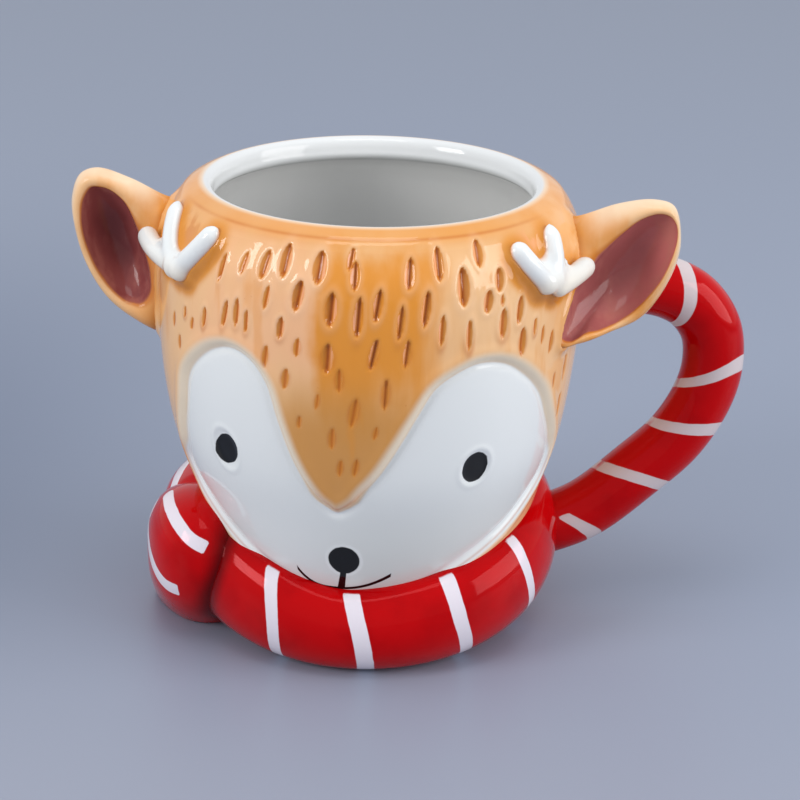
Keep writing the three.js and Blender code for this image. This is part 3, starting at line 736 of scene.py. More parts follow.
def paint_fur(glaze, turn, aside, height):
    """Peach fur: pinker on the left, an orange wash in the middle, tan down the forehead's point."""
    clouds = glaze.noise(48, 4)
    patches = glaze.noise(17, 3, shift=3.1)
    streaks = glaze.noise(190, 3, stretch=(1, 1, 0.18))
    drift = (streaks - 0.5) * 0.9 + (clouds - 0.5) * 0.8
    pink = turn.rise(2, -8) * turn.rise(-52, -38) * height.rise(68, 84)
    glaze.paint(FUR_PINK, pink * (clouds + streaks * 0.4).rise(0.45, 0.85) * 0.7)
    wash = (turn + (clouds - 0.5) * 7).rise(-10, -3) * (turn + (clouds - 0.5) * 18).rise(42, 14)
    wash = wash * height.rise(46, 82) * height.rise(HEIGHT + 3, HEIGHT - 8)
    glaze.paint(FUR_ORANGE, (wash + drift * 0.9).rise(0.24, 1.0) * 0.97)
    point = height.rise(88, 60) * (turn - 4).size().rise(40, 14)
    glaze.paint(FUR_TAN, (point + drift * 0.35).rise(0.15, 1.0) * 0.9)
    sides = aside.rise(42, 66) * height.rise(58, 82)
    glaze.paint(FUR_ORANGE, (sides + drift * 0.8).rise(0.6, 1.4) * 0.75)
    back = aside.rise(90, 125)
    glaze.paint(FUR_ORANGE, back * (clouds * 0.8 + streaks * 0.5).rise(0.5, 0.95) * 0.6)
    thin = (streaks + (patches - 0.5) * 0.3).rise(0.6, 0.74) * height.rise(HEIGHT - 2, HEIGHT - 8)
    glaze.paint(FUR_ORANGE, thin * 0.35)
    drips = aside.hill(56, 12) * height.rise(92, 98) * height.rise(HEIGHT - 1.5, HEIGHT - 5)
    glaze.paint(FUR_ORANGE, drips * 0.6)
    glaze.paint(DRIP_PINK, drips * streaks.rise(0.53, 0.6) * 0.75)
    glaze.paint(FUR_BROWN, drips * streaks.rise(0.46, 0.38) * 0.5)
    rim = height.rise(HEIGHT - 4, HEIGHT - 1) * (turn.size().rise(88, 52) * 0.7 + 0.3)
    glaze.paint(FUR_ORANGE, rim * (clouds.rise(0.3, 0.7) * 0.35 + 0.4))
    glaze.paint(FUR_TAN, height.rise(HEIGHT - 9, HEIGHT - 2) * turn.size().rise(80, 50) * 0.3)
    crease = height.hill(HEIGHT - GROOVE_DROP, 0.28) * turn.size().rise(72, 50)
    glaze.paint(FUR_BROWN, crease * (clouds.rise(0.25, 0.6) * 0.35 + 0.15))
    return clouds, patches


def paint_strokes(glaze, height):
    """Each stroke is an orange hollow with a brown slit, a thin pink painted highlight along one wall and a
    pale edge round it.
    """
    cut, wall, halo = glaze.fields("cut", "wall", "halo")
    soft = height.rise(66, 86) * 0.35 + 0.65
    glaze.paint(FUR_PALE, halo * height.rise(82, 90) * 0.16)
    glaze.paint(FUR_BROWN, halo * height.rise(88, 80) * 0.6)
    glaze.paint(STROKE_GOLD, cut.rise(0.03, 0.3) * soft * 0.85)
    glaze.paint(FUR_BROWN, cut.rise(0.2, 0.55) * wall.hill(-0.02, 0.42) * soft * 0.95)
    glaze.paint(FUR_DARK, cut.rise(0.62, 1.0) * wall.hill(0.0, 0.24) * soft * 0.75)
    # Painted highlight: a thin pink line along the wall towards the middle of the face
    glaze.paint(STROKE_PINK_HIGHLIGHT, cut.rise(0.06, 0.25) * wall.hill(0.62, 0.2) * height.rise(76, 86) * 0.8)


def head_material():
    glaze = Glaze("fawn_fur_and_face_glaze", FUR_PEACH, roughness=0.07, mirror=0.38)
    aside, height, mask, pool, inside = glaze.fields("aside", "height", "mask", "pool", "inside")
    turn = glaze.field("turn") * (aside.rise(110, 120) * 99 + 1)
    clouds, patches = paint_fur(glaze, turn, aside, height)
    glaze.paint(STROKE_GOLD, pool.rise(0.05, 0.45) * 0.9)
    glaze.paint(POOL_BROWN, (pool + (clouds - 0.5) * 0.5).rise(0.25, 0.8) * 0.85)
    paint_strokes(glaze, height)
    speck = glaze.noise(900, 2).rise(0.74, 0.8)
    glaze.paint(FUR_BROWN, speck * 0.3)
    low = height.rise(52, 40)
    tip = height.rise(52, 45) * turn.size().rise(20, 12)
    glaze.paint(CREAM, (mask + (clouds - 0.5) * 0.8 + low * 0.5).rise(-1.3, 0.9) * (tip * -0.35 + 0.9))
    glaze.paint(FUR_TAN, (mask + low * 1.4).hill(FACE_BEVEL - 0.3, 0.3) * 0.25)
    white = mask + low * 2.1 - tip * 1.6 + (clouds - 0.5) * 0.8
    glaze.paint(WHITE_GLAZE, white.rise(FACE_BEVEL - 0.7, FACE_BEVEL + 0.2))
    # Painted shade: the face panel is greyed towards its lower part, more on its right side
    panel_shade = height.rise(56, 24) * (turn.rise(-20, 12) * 0.5 + 0.2)
    glaze.paint(PANEL_SHADE_GREY, mask.rise(FACE_BEVEL, FACE_BEVEL + 3) * panel_shade)
    glaze.paint(SEAM_BROWN, mask.hill(0.9, 0.3) * height.rise(50, 43) * 0.45)
    corner = turn.rise(-60, -66) * turn.rise(-86, -76) * height.rise(50, 45)
    glaze.paint(FUR_ORANGE, mask.rise(0.9, 0.1) * corner * 0.85)
    wobble = (glaze.noise(420, 2, shift=1.7) - 0.5) * 0.16
    for eye in (LEFT_EYE, RIGHT_EYE):
        paint_spot(glaze, spot_reach(turn, height, eye, EYE_SCALE) + wobble)
    paint_spot(glaze, spot_reach(turn, height, NOSE, NOSE_SCALE) + wobble * 0.6)
    paint_mouth(glaze, turn, height, wobble)
    glaze.paint(CREAM, inside.rise(-1.6, -0.2) * 0.6)
    glaze.paint(RIM_WHITE, inside.rise(-0.5, 0.5))
    glaze.paint(INSIDE_GLAZE, inside.rise(5.5, 9))
    return glaze.finish(patches * 2 + clouds * 0.5)


def ear_material(cup_glaze, dark):
    glaze = Glaze("ear_glaze", FUR_PEACH, roughness=0.1, mirror=0.2)
    cup, height, root = glaze.fields("cup", "height", "root")
    clouds = glaze.noise(70, 4)
    brush = glaze.noise(210, 4, stretch=(1, 1, 0.4))
    glaze.paint(FUR_ORANGE, (clouds * 1.1 + (brush - 0.5) * 0.6).rise(0.42, 0.8) * 0.8)
    glaze.paint(FUR_ORANGE, (root + (clouds - 0.5) * 4).rise(11, 1) * 0.5)
    glaze.paint(FUR_BROWN, root.rise(2.6, 0.2) * 0.5)
    glaze.paint(POOL_BROWN, root.rise(5, 0.5) * height.rise(82, 72) * 0.7)
    brim = (cup + (clouds - 0.5) * 0.5).hill(1.95, 0.4)
    glaze.paint(CREAM, brim * height.rise(78, 94) * root.rise(1, 9) * 0.6)
    edge = cup + (brush - 0.5) * 0.12
    bowl = edge.rise(1.07, 0.99)
    glaze.paint(FUR_BROWN, edge.rise(1.2, 1.06) * 0.65)
    glaze.paint(cup_glaze, bowl * 0.97)
    deep = (cup + (clouds - 0.5) * 0.9).rise(0.85, 0.15)
    glaze.paint(MAUVE_DEEP, deep * dark)
    glaze.paint(MAUVE_DEEP, bowl * root.rise(11, 3) * 0.45)
    glaze.paint(MAUVE_PALE, bowl * (brush * 0.7 + clouds * 0.5).rise(0.56, 0.8) * 0.5)
    glaze.paint(MAUVE_PALE, edge.rise(0.7, 0.95) * bowl * brush.rise(0.4, 0.62) * 0.5)
    return glaze.finish(clouds + brush * 0.15, 0.0001)


def antler_material():
    glaze = Glaze("white_antler_glaze", WHITE_GLAZE, roughness=0.12)
    clouds = glaze.noise(120, 3)
    root, seat = glaze.fields("root", "seat")
    ragged = seat + (clouds - 0.5) * 0.8
    glaze.paint(CREAM, root.rise(6.5, 0) * 0.7)
    glaze.paint(FUR_ORANGE, ragged.rise(1.7, 0.5) * 0.85)
    glaze.paint(FUR_BROWN, ragged.rise(0.9, -0.1) * 0.6)
    return glaze.finish(clouds, 0.00008)


def red_material(name, band_colour=BAND_WHITE):
    """Clear red glaze, which tints what it mirrors, with brushed white bands, and on the scarf painted
    shade in the crease between its two pieces.
    """
    glaze = Glaze(name, RED, roughness=0.07, mirror=0.28)
    glaze.shader.inputs["Specular Tint"].default_value = (1.0, 0.3, 0.32, 1.0)
    band, crease = glaze.fields("band", "crease")
    waves = glaze.noise(40, 3)
    patches = glaze.noise(90, 3, shift=2.2)
    edge = glaze.noise(300, 2)
    glaze.paint(RED_DEEP, patches.rise(0.42, 0.72) * 0.4)
    # Painted shade: the red is darkened in the crease where the loop and the loose end meet
    glaze.paint(RED_CREASE_SHADE, crease.rise(0.1, 1) * 0.85)
    glaze.paint(band_colour, (band + (edge - 0.5) * 0.35).rise(0.12, -0.12))
    return glaze.finish(waves, 0.00012)


def head_angles():
    """Column angles: close together over the face, wider at the sides, widest at the back."""
    left = np.arange(-HEAD_SIDE_ANGLE, -HEAD_FACE_ANGLE, 0.62)
    face = np.arange(-HEAD_FACE_ANGLE, HEAD_FACE_ANGLE, 0.5)
    right = np.arange(HEAD_FACE_ANGLE, HEAD_SIDE_ANGLE, 0.62)
    back = np.linspace(HEAD_SIDE_ANGLE, 360 - HEAD_SIDE_ANGLE, 76, endpoint=False)
    return np.concatenate([left, face, right, back])


def head_rows():
    """Radius, height and inside distance of each row, from the base up, over the rim and down."""
    low = np.concatenate([np.arange(1.2, 20, 1.8), np.arange(20, 54, 0.6), np.arange(54, HEIGHT - 4, 0.45)])
    outer = np.column_stack([side_radius(low), low])
    rim = evenly(curve_through(RIM_STATIONS), 44)
    inner = evenly(curve_through(INSIDE_STATIONS), 48)[1:]
    rows = np.concatenate([[(BASE_RADIUS, 0)], outer, rim, inner])
    along = lengths_along(rows)
    crest = np.argmax(rows[:, 1])
    return rows, along - along[crest]


def stroke_marks(theta, z):
    """How deep the strokes cut the fur, how strongly each is painted, the side across it, which places the
    brown slit and the painted highlight on one wall, and its edge.
    """
    spread = np.random.default_rng(STROKE_SEED)
    depth, dark, wall, halo, brim = (np.zeros_like(theta) for _ in range(5))
    for angle, height, width, length, cut in STROKES:
        lean = math.radians(STROKE_LEAN + spread.uniform(-1, 1) * STROKE_LEAN_SPREAD)
        across = (theta - angle) * FACE_SCALE
        up = z - height
        along = (up * math.cos(lean) + across * math.sin(lean)) / (length / 2)
        beside = (across * math.cos(lean) - up * math.sin(lean)) / (width / 2)
        tone = beside if angle < 0 else -beside
        lens = np.clip(1 - along ** 2, 0, 1) ** 0.75
        share = np.clip(1 - (beside / np.maximum(lens, 1e-6)) ** 2, 0, 1) * (lens > 0)
        share = share * np.minimum(1, lens * 1.6)
        floor = STROKE_SHARE * cut * (1 - STROKE_TILT * np.clip(tone, -1, 1))
        depth = np.maximum(depth, floor * share)
        strength = share * min(1.0, 0.5 + 0.5 * cut)
        wall = np.where(strength > dark, tone, wall)
        dark = np.maximum(dark, strength)
        if height > STROKE_BRIM_FROM:
            ring = hill((np.hypot(along / 1.12, beside / 1.5) - 0.95) / 0.3)
            brim = np.maximum(brim, ring)
        else:
            ring = squared_off(np.hypot(along / 1.1, beside / 1.7) / 0.75, 4)
        halo = np.maximum(halo, ring)
    return depth - STROKE_BRIM * brim * (1 - dark), dark, wall, halo


def build_head(neighbours):
    rows, inside = head_rows()
    angles = head_angles()
    columns = len(angles)
    theta = np.tile(((angles + 180) % 360) - 180, len(rows))
    radius = np.repeat(rows[:, 0], columns)
    z = np.repeat(rows[:, 1], columns)
    inside = np.repeat(inside, columns)
    outer = inside < 0
    radius = np.where(outer, radius + head_radius(theta, z) - side_radius(z), radius)
    mask = np.full(len(z), OFF_FACE)
    near = outer & (np.abs(theta) < 92) & (z < FACE_HIGH + 8)
    mask[near] = inside_distance(np.column_stack([theta[near] * FACE_SCALE, z[near]]), face_outline())
    depth, dark, wall, halo = (np.where(outer, values, 0) for values in stroke_marks(theta, z))
    front = smooth((75 - np.abs(theta)) / 20)
    groove = GROOVE_DEPTH * hill((z - HEIGHT + GROOVE_DROP) / GROOVE_HALF) * front
    radius -= face_relief(mask) + depth + np.where(outer, eye_relief(theta, z) + groove, 0)
    points, pool = fillet(on_round(theta, radius, z), theta, outer, neighbours)
    base = len(points)
    faces = ring_faces(len(rows), columns) + tip_faces(base, base + 1, base - columns, columns)
    head = make_piece("fawn_head", np.concatenate([points, [(0, 0, 0), (0, 0, CUP_FLOOR)]]), faces)
    marks = {
        "turn": theta, "aside": np.abs(theta), "height": z, "mask": mask, "cut": dark, "wall": wall,
        "halo": halo, "pool": pool, "inside": inside,
    }
    at_tips = {"mask": [OFF_FACE, OFF_FACE], "inside": [-99, 99]}
    for name, values in marks.items():
        set_field(head, name, np.concatenate([values, at_tips.get(name, [0, 0])]))
    dress(head, "head_cup", head_material())


def face_relief(mask):
    """How far the face lies below the fur, by the distance inside its outline."""
    crown = 1 - np.exp(-np.clip(mask - FACE_BEVEL, 0, None) / FACE_CROWN_REACH)
    dip = FACE_DIP * hill((mask - FACE_BEVEL) / FACE_DIP_HALF)
    ridge = FACE_RIDGE * hill((mask + 0.9) / FACE_RIDGE_HALF)
    return smooth(mask / FACE_BEVEL) * (FACE_RECESS * (1 - FACE_CROWN * crown) + dip) - ridge


def eye_relief(theta, z):
    """Shallow dimples that hold the painted eyes."""
    relief = np.zeros_like(theta)
    for angle, height, half_width, half_height, _ in (LEFT_EYE, RIGHT_EYE):
        reach = np.hypot((theta - angle) * EYE_SCALE / half_width, (z - height) / half_height)
        relief += EYE_DIMPLE * squared_off(reach / 1.1, 6) - EYE_BRIM * hill((reach - 1.27) / 0.17)
    return relief


def fillet(points, theta, outer, neighbours):
    """Raises the head's skin where another piece grows out of it, and marks where glaze pools."""
    pool, lift = np.zeros((2, len(points)))
    for piece, (height, reach, pool_reach, strength) in neighbours:
        corners, tree, polygons = points_of(piece), surface_of(piece), piece.data.polygons
        cup = piece.data.attributes.get("cup")
        near = (points > corners.min(0) - JOINT_SEARCH) & (points < corners.max(0) + JOINT_SEARCH)
        for i in np.nonzero(outer & np.all(near, axis=1))[0]:
            place, _, face, away = tree.find_nearest(tuple(points[i]), JOINT_SEARCH)
            if place is None:
                continue
            if not cup or cup.data[polygons[face].vertices[0]].value > BESIDE_CUP:
                lift[i] = max(lift[i], height * max(0, 1 - away / reach) ** 2)
            below = min(1, max(0, (place[2] - points[i][2]) / POOL_SLOPE))
            inward = min(1, max(0, (abs(place[0]) - abs(points[i][0])) / POOL_SLOPE))
            side = 0.35 + 0.65 * below * (0.4 + 0.6 * inward)
            pool[i] = max(pool[i], strength * side * hill(away / pool_reach))
    return points + on_round(theta, 1, 0) * lift[:, None], pool


def polar_radius(outline, centre, angles):
    away = outline - centre
    turn = np.arctan2(away[:, 1], away[:, 0])
    order = np.argsort(turn)
    return np.interp(angles, turn[order], np.linalg.norm(away, axis=1)[order], period=2 * math.pi)


def ear_rings(ear, count):
    """Rings of points from the middle of the cup over the lip to the middle of the back, each with a mark.

    The mark is 1 on the cup's edge, 2 on the ear's own edge and 3 at the middle of the back.
    """
    side, span, height = ear["side"], ear["span"], ear["height"]
    low = HEIGHT + EAR_TOP_RISE - height
    outline = curve_through([(EAR_ROOT_RADIUS + span * u, low + height * v) for u, v in ear["shape"]], True)
    cup = curve_through(ear["cup"], True)
    centre = cup.mean(axis=0)
    angles = np.linspace(-math.pi, math.pi, count, endpoint=False)
    to_edge = polar_radius(outline, centre, angles)
    to_cup = np.minimum(polar_radius(cup, centre, angles), to_edge - EAR_EDGE_LEAST)
    spokes = np.column_stack([np.cos(angles), np.sin(angles)])
    rings, marks = [], []

    def place(reach, forward):
        x, z = (centre + spokes * reach[:, None]).T
        near_root = smooth(1 - (x - EAR_ROOT_RADIUS) / (span * 0.8))
        near_low = smooth(1 - (z - low) / (height * 0.85))
        wrap = ear["wrap"] * near_root * near_low
        return np.column_stack([side * x, -EAR_FRONT - forward - wrap, z + EAR_WRAP_RISE * wrap])

    band = to_edge - to_cup
    for t in np.linspace(0.03, 1, 30):
        bowl = (1 - t ** 2.2) ** 0.8 if t < 1 else 0
        rings.append(place(to_cup * t, EAR_LIP - (EAR_CUP_DEPTH + EAR_LIP) * bowl))
        marks.append(t)
    for t in np.linspace(0, 1, 16)[1:]:
        crest = np.minimum(1.3, 0.45 * band) * math.sin(math.pi * min(1, t * 0.9 + 0.1)) ** 0.8
        rings.append(place(to_cup + band * t, EAR_LIP * (1 - t ** 3) + crest))
        marks.append(1 + t)
    for t in np.linspace(0, 1, 34)[1:]:
        inset = t ** 1.6
        share = (1 - (1 - inset) ** 2) ** 0.62
        rings.append(place(to_edge * (1 - inset * 0.985), -EAR_DEPTH * share))
        marks.append(2 + t)
    return rings, marks


def build_ear(name, ear):
    count = 176
    rings, marks = ear_rings(ear, count)
    points = keep_outside_cavity(np.concatenate(rings), EAR_ROOT_DEPTH)
    front = np.repeat(np.array(marks) <= 1.3, count)
    points[front] = keep_outside_cavity(points[front], -EAR_FRONT_STANDOFF)
    first = len(points)
    faces = ring_faces(len(rings), count) + tip_faces(first, first + 1, first - count, count)
    if ear["side"] < 0:
        faces = [tuple(reversed(face)) for face in faces]
    points = np.concatenate([points, [rings[0].mean(axis=0), rings[-1].mean(axis=0)]])
    piece = make_piece(f"{name}_ear", points, faces)
    set_field(piece, "cup", np.concatenate([np.repeat(marks, count), [0, 3]]))
    set_field(piece, "height", points[:, 2])
    set_field(piece, "root", above_head(points))
    return piece


def prong_rings(antler, start, tip, bend, radii, lift):
    """Rings round one tapered, round-ended prong that lies on the head, grown by the web's radius."""
    steps, around = 44, 28
    side, base = antler["side"], antler["angle"]

    def centre(t):
        theta = base + side * (mix(start[0], tip[0], t) + bend * math.sin(math.pi * t))
        z = mix(start[1], tip[1], t)
        return on_round(theta, head_radius(theta, z) + ANTLER_STANDOFF + lift * t, z)

    length = np.linalg.norm(centre(1) - centre(0))
    over = ANTLER_WEB / length
    length += 2 * ANTLER_WEB
    rings = []
    for k in range(steps + 1):
        s = (1 - math.cos(math.pi * k / steps)) / 2
        t = mix(-over, 1 + over, s)
        here = centre(t)
        ahead = centre(t + 0.02) - centre(t - 0.02)
        ahead /= np.linalg.norm(ahead)
        outward = np.array([here[0], here[1], 0])
        outward /= np.linalg.norm(outward)
        across = np.cross(outward, ahead)
        across /= np.linalg.norm(across)
        up = np.cross(ahead, across)
        to_start = min(1, s * length / (radii[0] + ANTLER_WEB))
        to_end = min(1, (1 - s) * length / (radii[1] + ANTLER_WEB))
        cap = math.sqrt(to_start * (2 - to_start) * to_end * (2 - to_end))
        radius = max(0.05, (mix(radii[0], radii[1], s) + ANTLER_WEB) * cap)
        turns = full_turn(around)
        rings.append(here + radius * (np.outer(np.cos(turns), across) + np.outer(np.sin(turns), up)))
    return np.concatenate(rings), ring_faces(len(rings), around), around


def blended(rough, rounds):
    """One skin round all that a rough piece is made of, softened, in place of the piece."""
    blend = rough.modifiers.new("blend", "REMESH")
    blend.mode = "VOXEL"
    blend.voxel_size = ANTLER_VOXEL * MM
    soften = rough.modifiers.new("soften", "SMOOTH")
    soften.iterations = rounds
    soften.factor = 0.5
    bpy.context.view_layer.update()
    mesh = bpy.data.meshes.new_from_object(rough.evaluated_get(bpy.context.evaluated_depsgraph_get()))
    bpy.data.objects.remove(rough)
    return add_object("blended", mesh)


def build_antler(name, antler):
    palm = HEIGHT - ANTLER_DROP
    wide = ANTLER_FILL * ANTLER_WIDTH / 2
    apart = (ANTLER_PALM_WIDTH - ANTLER_WIDTH) / 2 / math.radians(HEAD_RADIUS)

    def bar(key, bend, lift):
        root, tip = ((turn, palm + ANTLER_RISE * share) for turn, share in antler[key])
        return prong_rings(antler, root, tip, bend, (wide * 1.12, wide * 1.04), lift)

    prongs = [bar("inner", -0.8, 0), bar("middle", 0, 0), bar("outer", -0.5, ANTLER_TIP_LIFT)]
    for edge in (-apart, apart):
        high, low = (turn + part * edge for turn, part in ANTLER_PALM_ENDS)
        ends = (high, palm + ANTLER_PALM_RISE), (low, palm - ANTLER_PALM_DROP)
        prongs.append(prong_rings(antler, *ends, 0, (wide * 1.2, wide * 1.5), 0))
    points, faces = [], []
    for rings, quads, around in prongs:
        start = sum(len(earlier) for earlier in points)
        points.append(rings)
        faces += [tuple(start + i for i in quad) for quad in quads]
        end = start + len(rings) - around
        faces.append(tuple(range(start + around - 1, start - 1, -1)))
        faces.append(tuple(range(end, end + around)))
    grown = blended(make_piece("rough_antler", np.concatenate(points), faces), 3)
    normals = np.empty(len(grown.data.vertices) * 3)
    grown.data.vertices.foreach_get("normal", normals)
    places = points_of(grown) - normals.reshape(-1, 3) * ANTLER_WEB
    grown.data.vertices.foreach_set("co", (places * MM).ravel())
    piece = blended(grown, 5)
    piece.name = piece.data.name = f"{name}_antler"
    piece.data.shade_smooth()
    places = points_of(piece)
    set_field(piece, "seat", above_head(places))
    set_field(piece, "root", places[:, 2] - palm + ANTLER_PALM_DROP)
    return piece


def line_gap(points, line, half_width):
    """Distance from each point to a line of angles, heights and radii, less the half width of its band."""
    path = curve_through([on_round(angle, radius, height) for angle, height, radius in line], steps=8)
    nearest = np.full(len(points), 99.0)
    for start, end in zip(path, path[1:]):
        nearest = np.minimum(nearest, distance_to(points, start, end))
    finish = path[-1] - path[-3]
    beyond = (points - path[-1]) @ (finish / np.linalg.norm(finish))
    return np.maximum(nearest - half_width, np.where(nearest < 3 * half_width, beyond, nearest))


def loop_bands(theta, radius, z):
    """Distance from each point of the loop to the nearest white band, negative inside it."""
    u = np.minimum(1.2, (z - BAND_LOW) / (BAND_HIGH - BAND_LOW))
    nearest = np.full(len(z), 99.0)
    for high, half, low, width in LOOP_BANDS:
        middle = high * u * (2 * u - 1) + half * 4 * u * (1 - u) + low * (1 - u) * (1 - 2 * u)
        away = np.abs((theta - middle + 180) % 360 - 180) * np.radians(1) * radius
        nearest = np.minimum(nearest, away * BAND_SLANT - width / 2)
    return nearest


def build_scarf_loop():
    thetas = np.linspace(-180, 180, 400, endpoint=False)
    foot_turns = np.linspace(0, math.pi / 2, 22)
    rows = []
    top = scarf_top(thetas)
    behind = smooth(np.abs(thetas) / SCARF_SIDE_ANGLE)
    fold = hill((thetas - SCARF_FOLD_ANGLE) / SCARF_FOLD_REACH)
    foot = mix(*SCARF_FOOT, behind)
    bulge = mix(*SCARF_RADIUS, behind) + SCARF_FOLD_BULGE * fold
    waist = mix(*SCARF_WAIST, behind) + SCARF_FOLD_LIFT * fold
    top_radius = side_radius(top) - SCARF_SEAT_DEPTH
    for share in (0.0, 0.5):
        rows.append((mix(side_radius(0) - SCARF_SEAT_DEPTH, foot, share), 0 * top))
    for turn in foot_turns:
        rows.append((mix(foot, bulge, math.sin(turn)), waist * (1 - math.cos(turn))))
    for turn in foot_turns[1:]:
        rows.append((mix(top_radius, bulge, math.cos(turn)), mix(waist, top, math.sin(turn))))
    for drop in (4, 10):
        rows.append((side_radius(top - drop) - SCARF_SEAT_DEPTH, top - drop))
    radius, z = (np.concatenate(column) for column in zip(*rows))
    theta = np.tile(thetas, len(rows))
    points = keep_outside_cavity(on_round(theta, radius, z), SCARF_SEAT_DEPTH)
    scarf = make_piece("scarf_wrap", points, ring_faces(len(rows), len(thetas)))
    bands = np.minimum(loop_bands(theta, radius, z), line_gap(points, *SHOULDER_BAND))
    set_field(scarf, "band", np.maximum(bands, z - (np.tile(top, len(rows)) - BAND_TOP_GAP)))
    dress(scarf, "scarf_loop", red_material("red_scarf_glaze"))
    return scarf


def build_scarf_end():
    half_width, middle = END_WIDTH / 2, END_HEIGHT / 2
    around = 190
    turns = full_turn(around)
    cos, sin = np.cos(turns), np.sin(turns)
    power = 2 / np.where(sin < 0, END_FOOT_SQUARENESS, END_TOP_SQUARENESS)
    across = half_width * np.sign(cos) * np.abs(cos) ** power
    reach = np.where(sin < 0, middle + END_FOOT_SPREAD, middle)
    up = reach * np.sign(sin) * np.abs(sin) ** power

    def ring(scale, depth):
        t, rise = across * scale, up * scale
        theta = END_ANGLE + np.degrees((t + END_LEAN * rise) / END_SEAT_RADIUS)
        z = np.maximum(0, middle + rise + END_SLANT * t * np.maximum(0, -sin))
        tuck = END_TUCK * smooth(0.5 + t / half_width) * np.maximum(0, 1 - z / middle) ** 2
        return on_round(theta, END_SEAT_RADIUS + depth - tuck, z)

    rings = [ring(scale, -share * END_BACK_DEPTH) for scale, share in END_BACK]
    for turn in np.linspace(0, math.pi / 2, 44)[:-1]:
        depth = mix(-END_SEAT_DEPTH, END_THICKNESS, math.sin(turn) ** 0.9)
        rings.append(ring(math.cos(turn) ** 0.7, depth))
    tip = ring(0.0, END_THICKNESS)[:1]
    points = keep_outside_cavity(np.concatenate([*rings, tip]), SCARF_SEAT_DEPTH)
    faces = ring_faces(len(rings), around)
    last = (len(rings) - 1) * around
    faces += [(len(points) - 1, last + k, last + (k + 1) % around) for k in range(around)]
    faces.append(tuple(range(around - 1, -1, -1)))
    end = make_piece("scarf_loose_end", points, faces)
    set_field(end, "band", np.min([line_gap(points, line, half) for line, half in END_BANDS], axis=0))
    dress(end, "scarf_end", red_material("red_scarf_end_glaze"))
    return end


def mark_crease_shade(piece, other):
    """Marks where a piece of the scarf comes close to the other's surface, for the painted shade in the
    crease between them.
    """
    tree = surface_of(other)
    near = []
    for place in points_of(piece):
        found = tree.find_nearest(tuple(place), CREASE_REACH)
        ahead = smooth((math.degrees(math.atan2(place[0], -place[1])) + CREASE_START) / 15)
        near.append(0 if found[0] is None else ahead * (1 - found[3] / CREASE_REACH))
    set_field(piece, "crease", near)


def build_handle():
    path = evenly(curve_through(HANDLE_STATIONS), 190)
    along = lengths_along(path)
    slope = np.gradient(path, axis=0)
    slope /= np.linalg.norm(slope, axis=1)[:, None]
    around = 56
    turns = full_turn(around)
    aside = on_round(HANDLE_ANGLE + 90, 1, 0)
    out = HANDLE_HALF * np.cos(turns)
    rows = []
    for centre, tangent in zip(path, slope):
        ring = on_round(HANDLE_ANGLE, centre[0] + tangent[1] * out, centre[1] - tangent[0] * out)
        rows.append(ring + np.outer(HANDLE_HALF * np.sin(turns), aside))
    points = keep_outside_cavity(np.concatenate(rows), HANDLE_ROOT_DEPTH)
    faces = ring_faces(len(path), around)
    faces.append(tuple(range(around - 1, -1, -1)))
    faces.append(tuple(range(len(points) - around, len(points))))
    handle = make_piece("loop_handle", points, faces)
    length = np.repeat(along, around)
    turn = np.tile(turns, len(path))
    nearest = np.full(len(points), 99.0)
    for middle, slant, twist, inward in HANDLE_BANDS:
        line = middle + slant * np.cos(turn) + twist * np.sin(turn)
        gap = np.abs(length - line) * HANDLE_BAND_SLANT - HANDLE_BAND_WIDTH / 2
        nearest = np.minimum(nearest, np.maximum(gap, (np.cos(turn) - inward) * HANDLE_HALF))
    set_field(handle, "band", nearest)
    dress(handle, "handle", red_material("red_handle_glaze", HANDLE_BAND_WHITE))
    return handle


def build_mug():
    ears = [build_ear(name, ear) for name, ear in EARS.items()]
    antlers = [build_antler(name, antler) for name, antler in ANTLERS.items()]
    handle = build_handle()
    loop, end = build_scarf_loop(), build_scarf_end()
    mark_crease_shade(loop, end)
    mark_crease_shade(end, loop)
    joints = [(ear, EAR_JOINT) for ear in ears] + [(antler, ANTLER_JOINT) for antler in antlers]
    build_head([*joints, (handle, HANDLE_JOINT)])
    for name, piece in zip(EARS, ears):
        dress(piece, f"ear_{name}", ear_material(MAUVE[name], EARS[name]["dark"]))
    for name, piece in zip(ANTLERS, antlers):
        dress(piece, f"antler_{name}", antler_material())


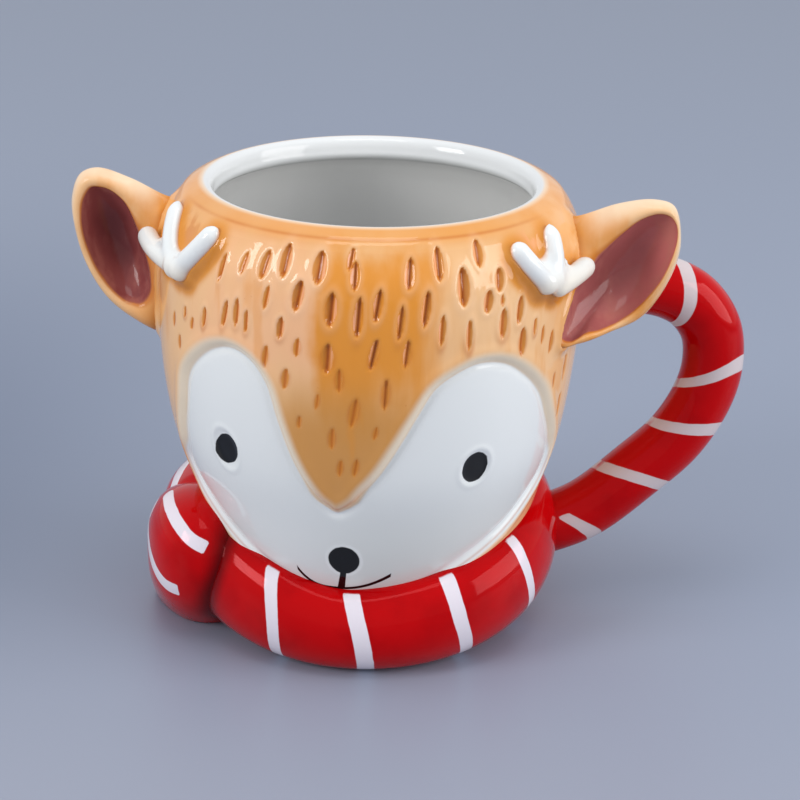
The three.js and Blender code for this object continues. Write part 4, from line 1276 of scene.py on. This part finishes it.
def add_floor():
    mesh = bpy.data.meshes.new("floor")
    corners = ((-1, -1), (1, -1), (1, 1), (-1, 1))
    places = [(x * TABLE_HALF, y * TABLE_HALF, -TABLE_DROP) for x, y in corners]
    mesh.from_pydata(places, [], [(0, 1, 2, 3)])
    floor = add_object("floor", mesh)
    table = Glaze("pale_table", TABLE_BLUE, roughness=0.42)
    # Painted shade: a darker patch on the table left of the mug; painted light: the table lighter towards
    # the front
    left = table.place("X").hill(-0.17, 0.1) * table.place("Y").hill(0.05, 0.19)
    table.paint(TABLE_SHADE, left * 0.75)
    table.paint(TABLE_FRONT_LIGHT, table.place("Y").rise(0.02, -0.12) * 0.6)
    floor.data.materials.append(table.finish(table.noise(2), 0))


def add_world():
    world = bpy.data.worlds.new("studio")
    bpy.context.scene.world = world
    world.use_nodes = True
    background = world.node_tree.nodes["Background"]
    background.inputs["Color"].default_value = DAYLIGHT
    background.inputs["Strength"].default_value = DAYLIGHT_STRENGTH


def direction(azimuth, elevation):
    """The unit vector from the mug towards an azimuth and an elevation in degrees."""
    a, e = math.radians(azimuth), math.radians(elevation)
    return Vector((math.sin(a) * math.cos(e), -math.cos(a) * math.cos(e), math.sin(e)))


def add_softbox(name, azimuth, elevation, distance, width, height, radiance):
    """A rectangular light that faces the mug."""
    out = direction(azimuth, elevation)
    light = bpy.data.lights.new(name, "AREA")
    light.shape = "RECTANGLE"
    light.size = width
    light.size_y = height
    light.energy = radiance * math.pi * width * height
    light.color = LAMP_WHITE
    lamp = add_object(name, light)
    lamp.location = Vector((0, 0, HEIGHT / 2 * MM)) + out * distance
    lamp.rotation_mode = "QUATERNION"
    lamp.rotation_quaternion = out.to_track_quat("Z", "Y")


def add_camera():
    roll = math.radians(CAMERA_ROLL)
    back = direction(CAMERA_AZIMUTH, CAMERA_ELEVATION)
    level = direction(CAMERA_AZIMUTH + 90, 0)
    upright = back.cross(level)
    right = level * math.cos(roll) + upright * math.sin(roll)
    up = upright * math.cos(roll) - level * math.sin(roll)
    camera = bpy.data.cameras.new("camera")
    camera.sensor_width = CAMERA_SENSOR
    camera.lens = CAMERA_LENS
    camera.clip_start = 0.01
    camera.clip_end = 50
    view = add_object("camera", camera)
    target = Vector((0, 0, CAMERA_TARGET_HEIGHT)) + right * CAMERA_TARGET_RIGHT
    axes = Matrix((right, up, back)).transposed()
    view.matrix_world = Matrix.Translation(target + back * CAMERA_DISTANCE) @ axes.to_4x4()
    bpy.context.scene.camera = view


add_camera()
add_world()
add_floor()
for softbox in SOFTBOXES:
    add_softbox(*softbox)
build_mug()
bpy.context.scene.view_settings.view_transform = "Standard"
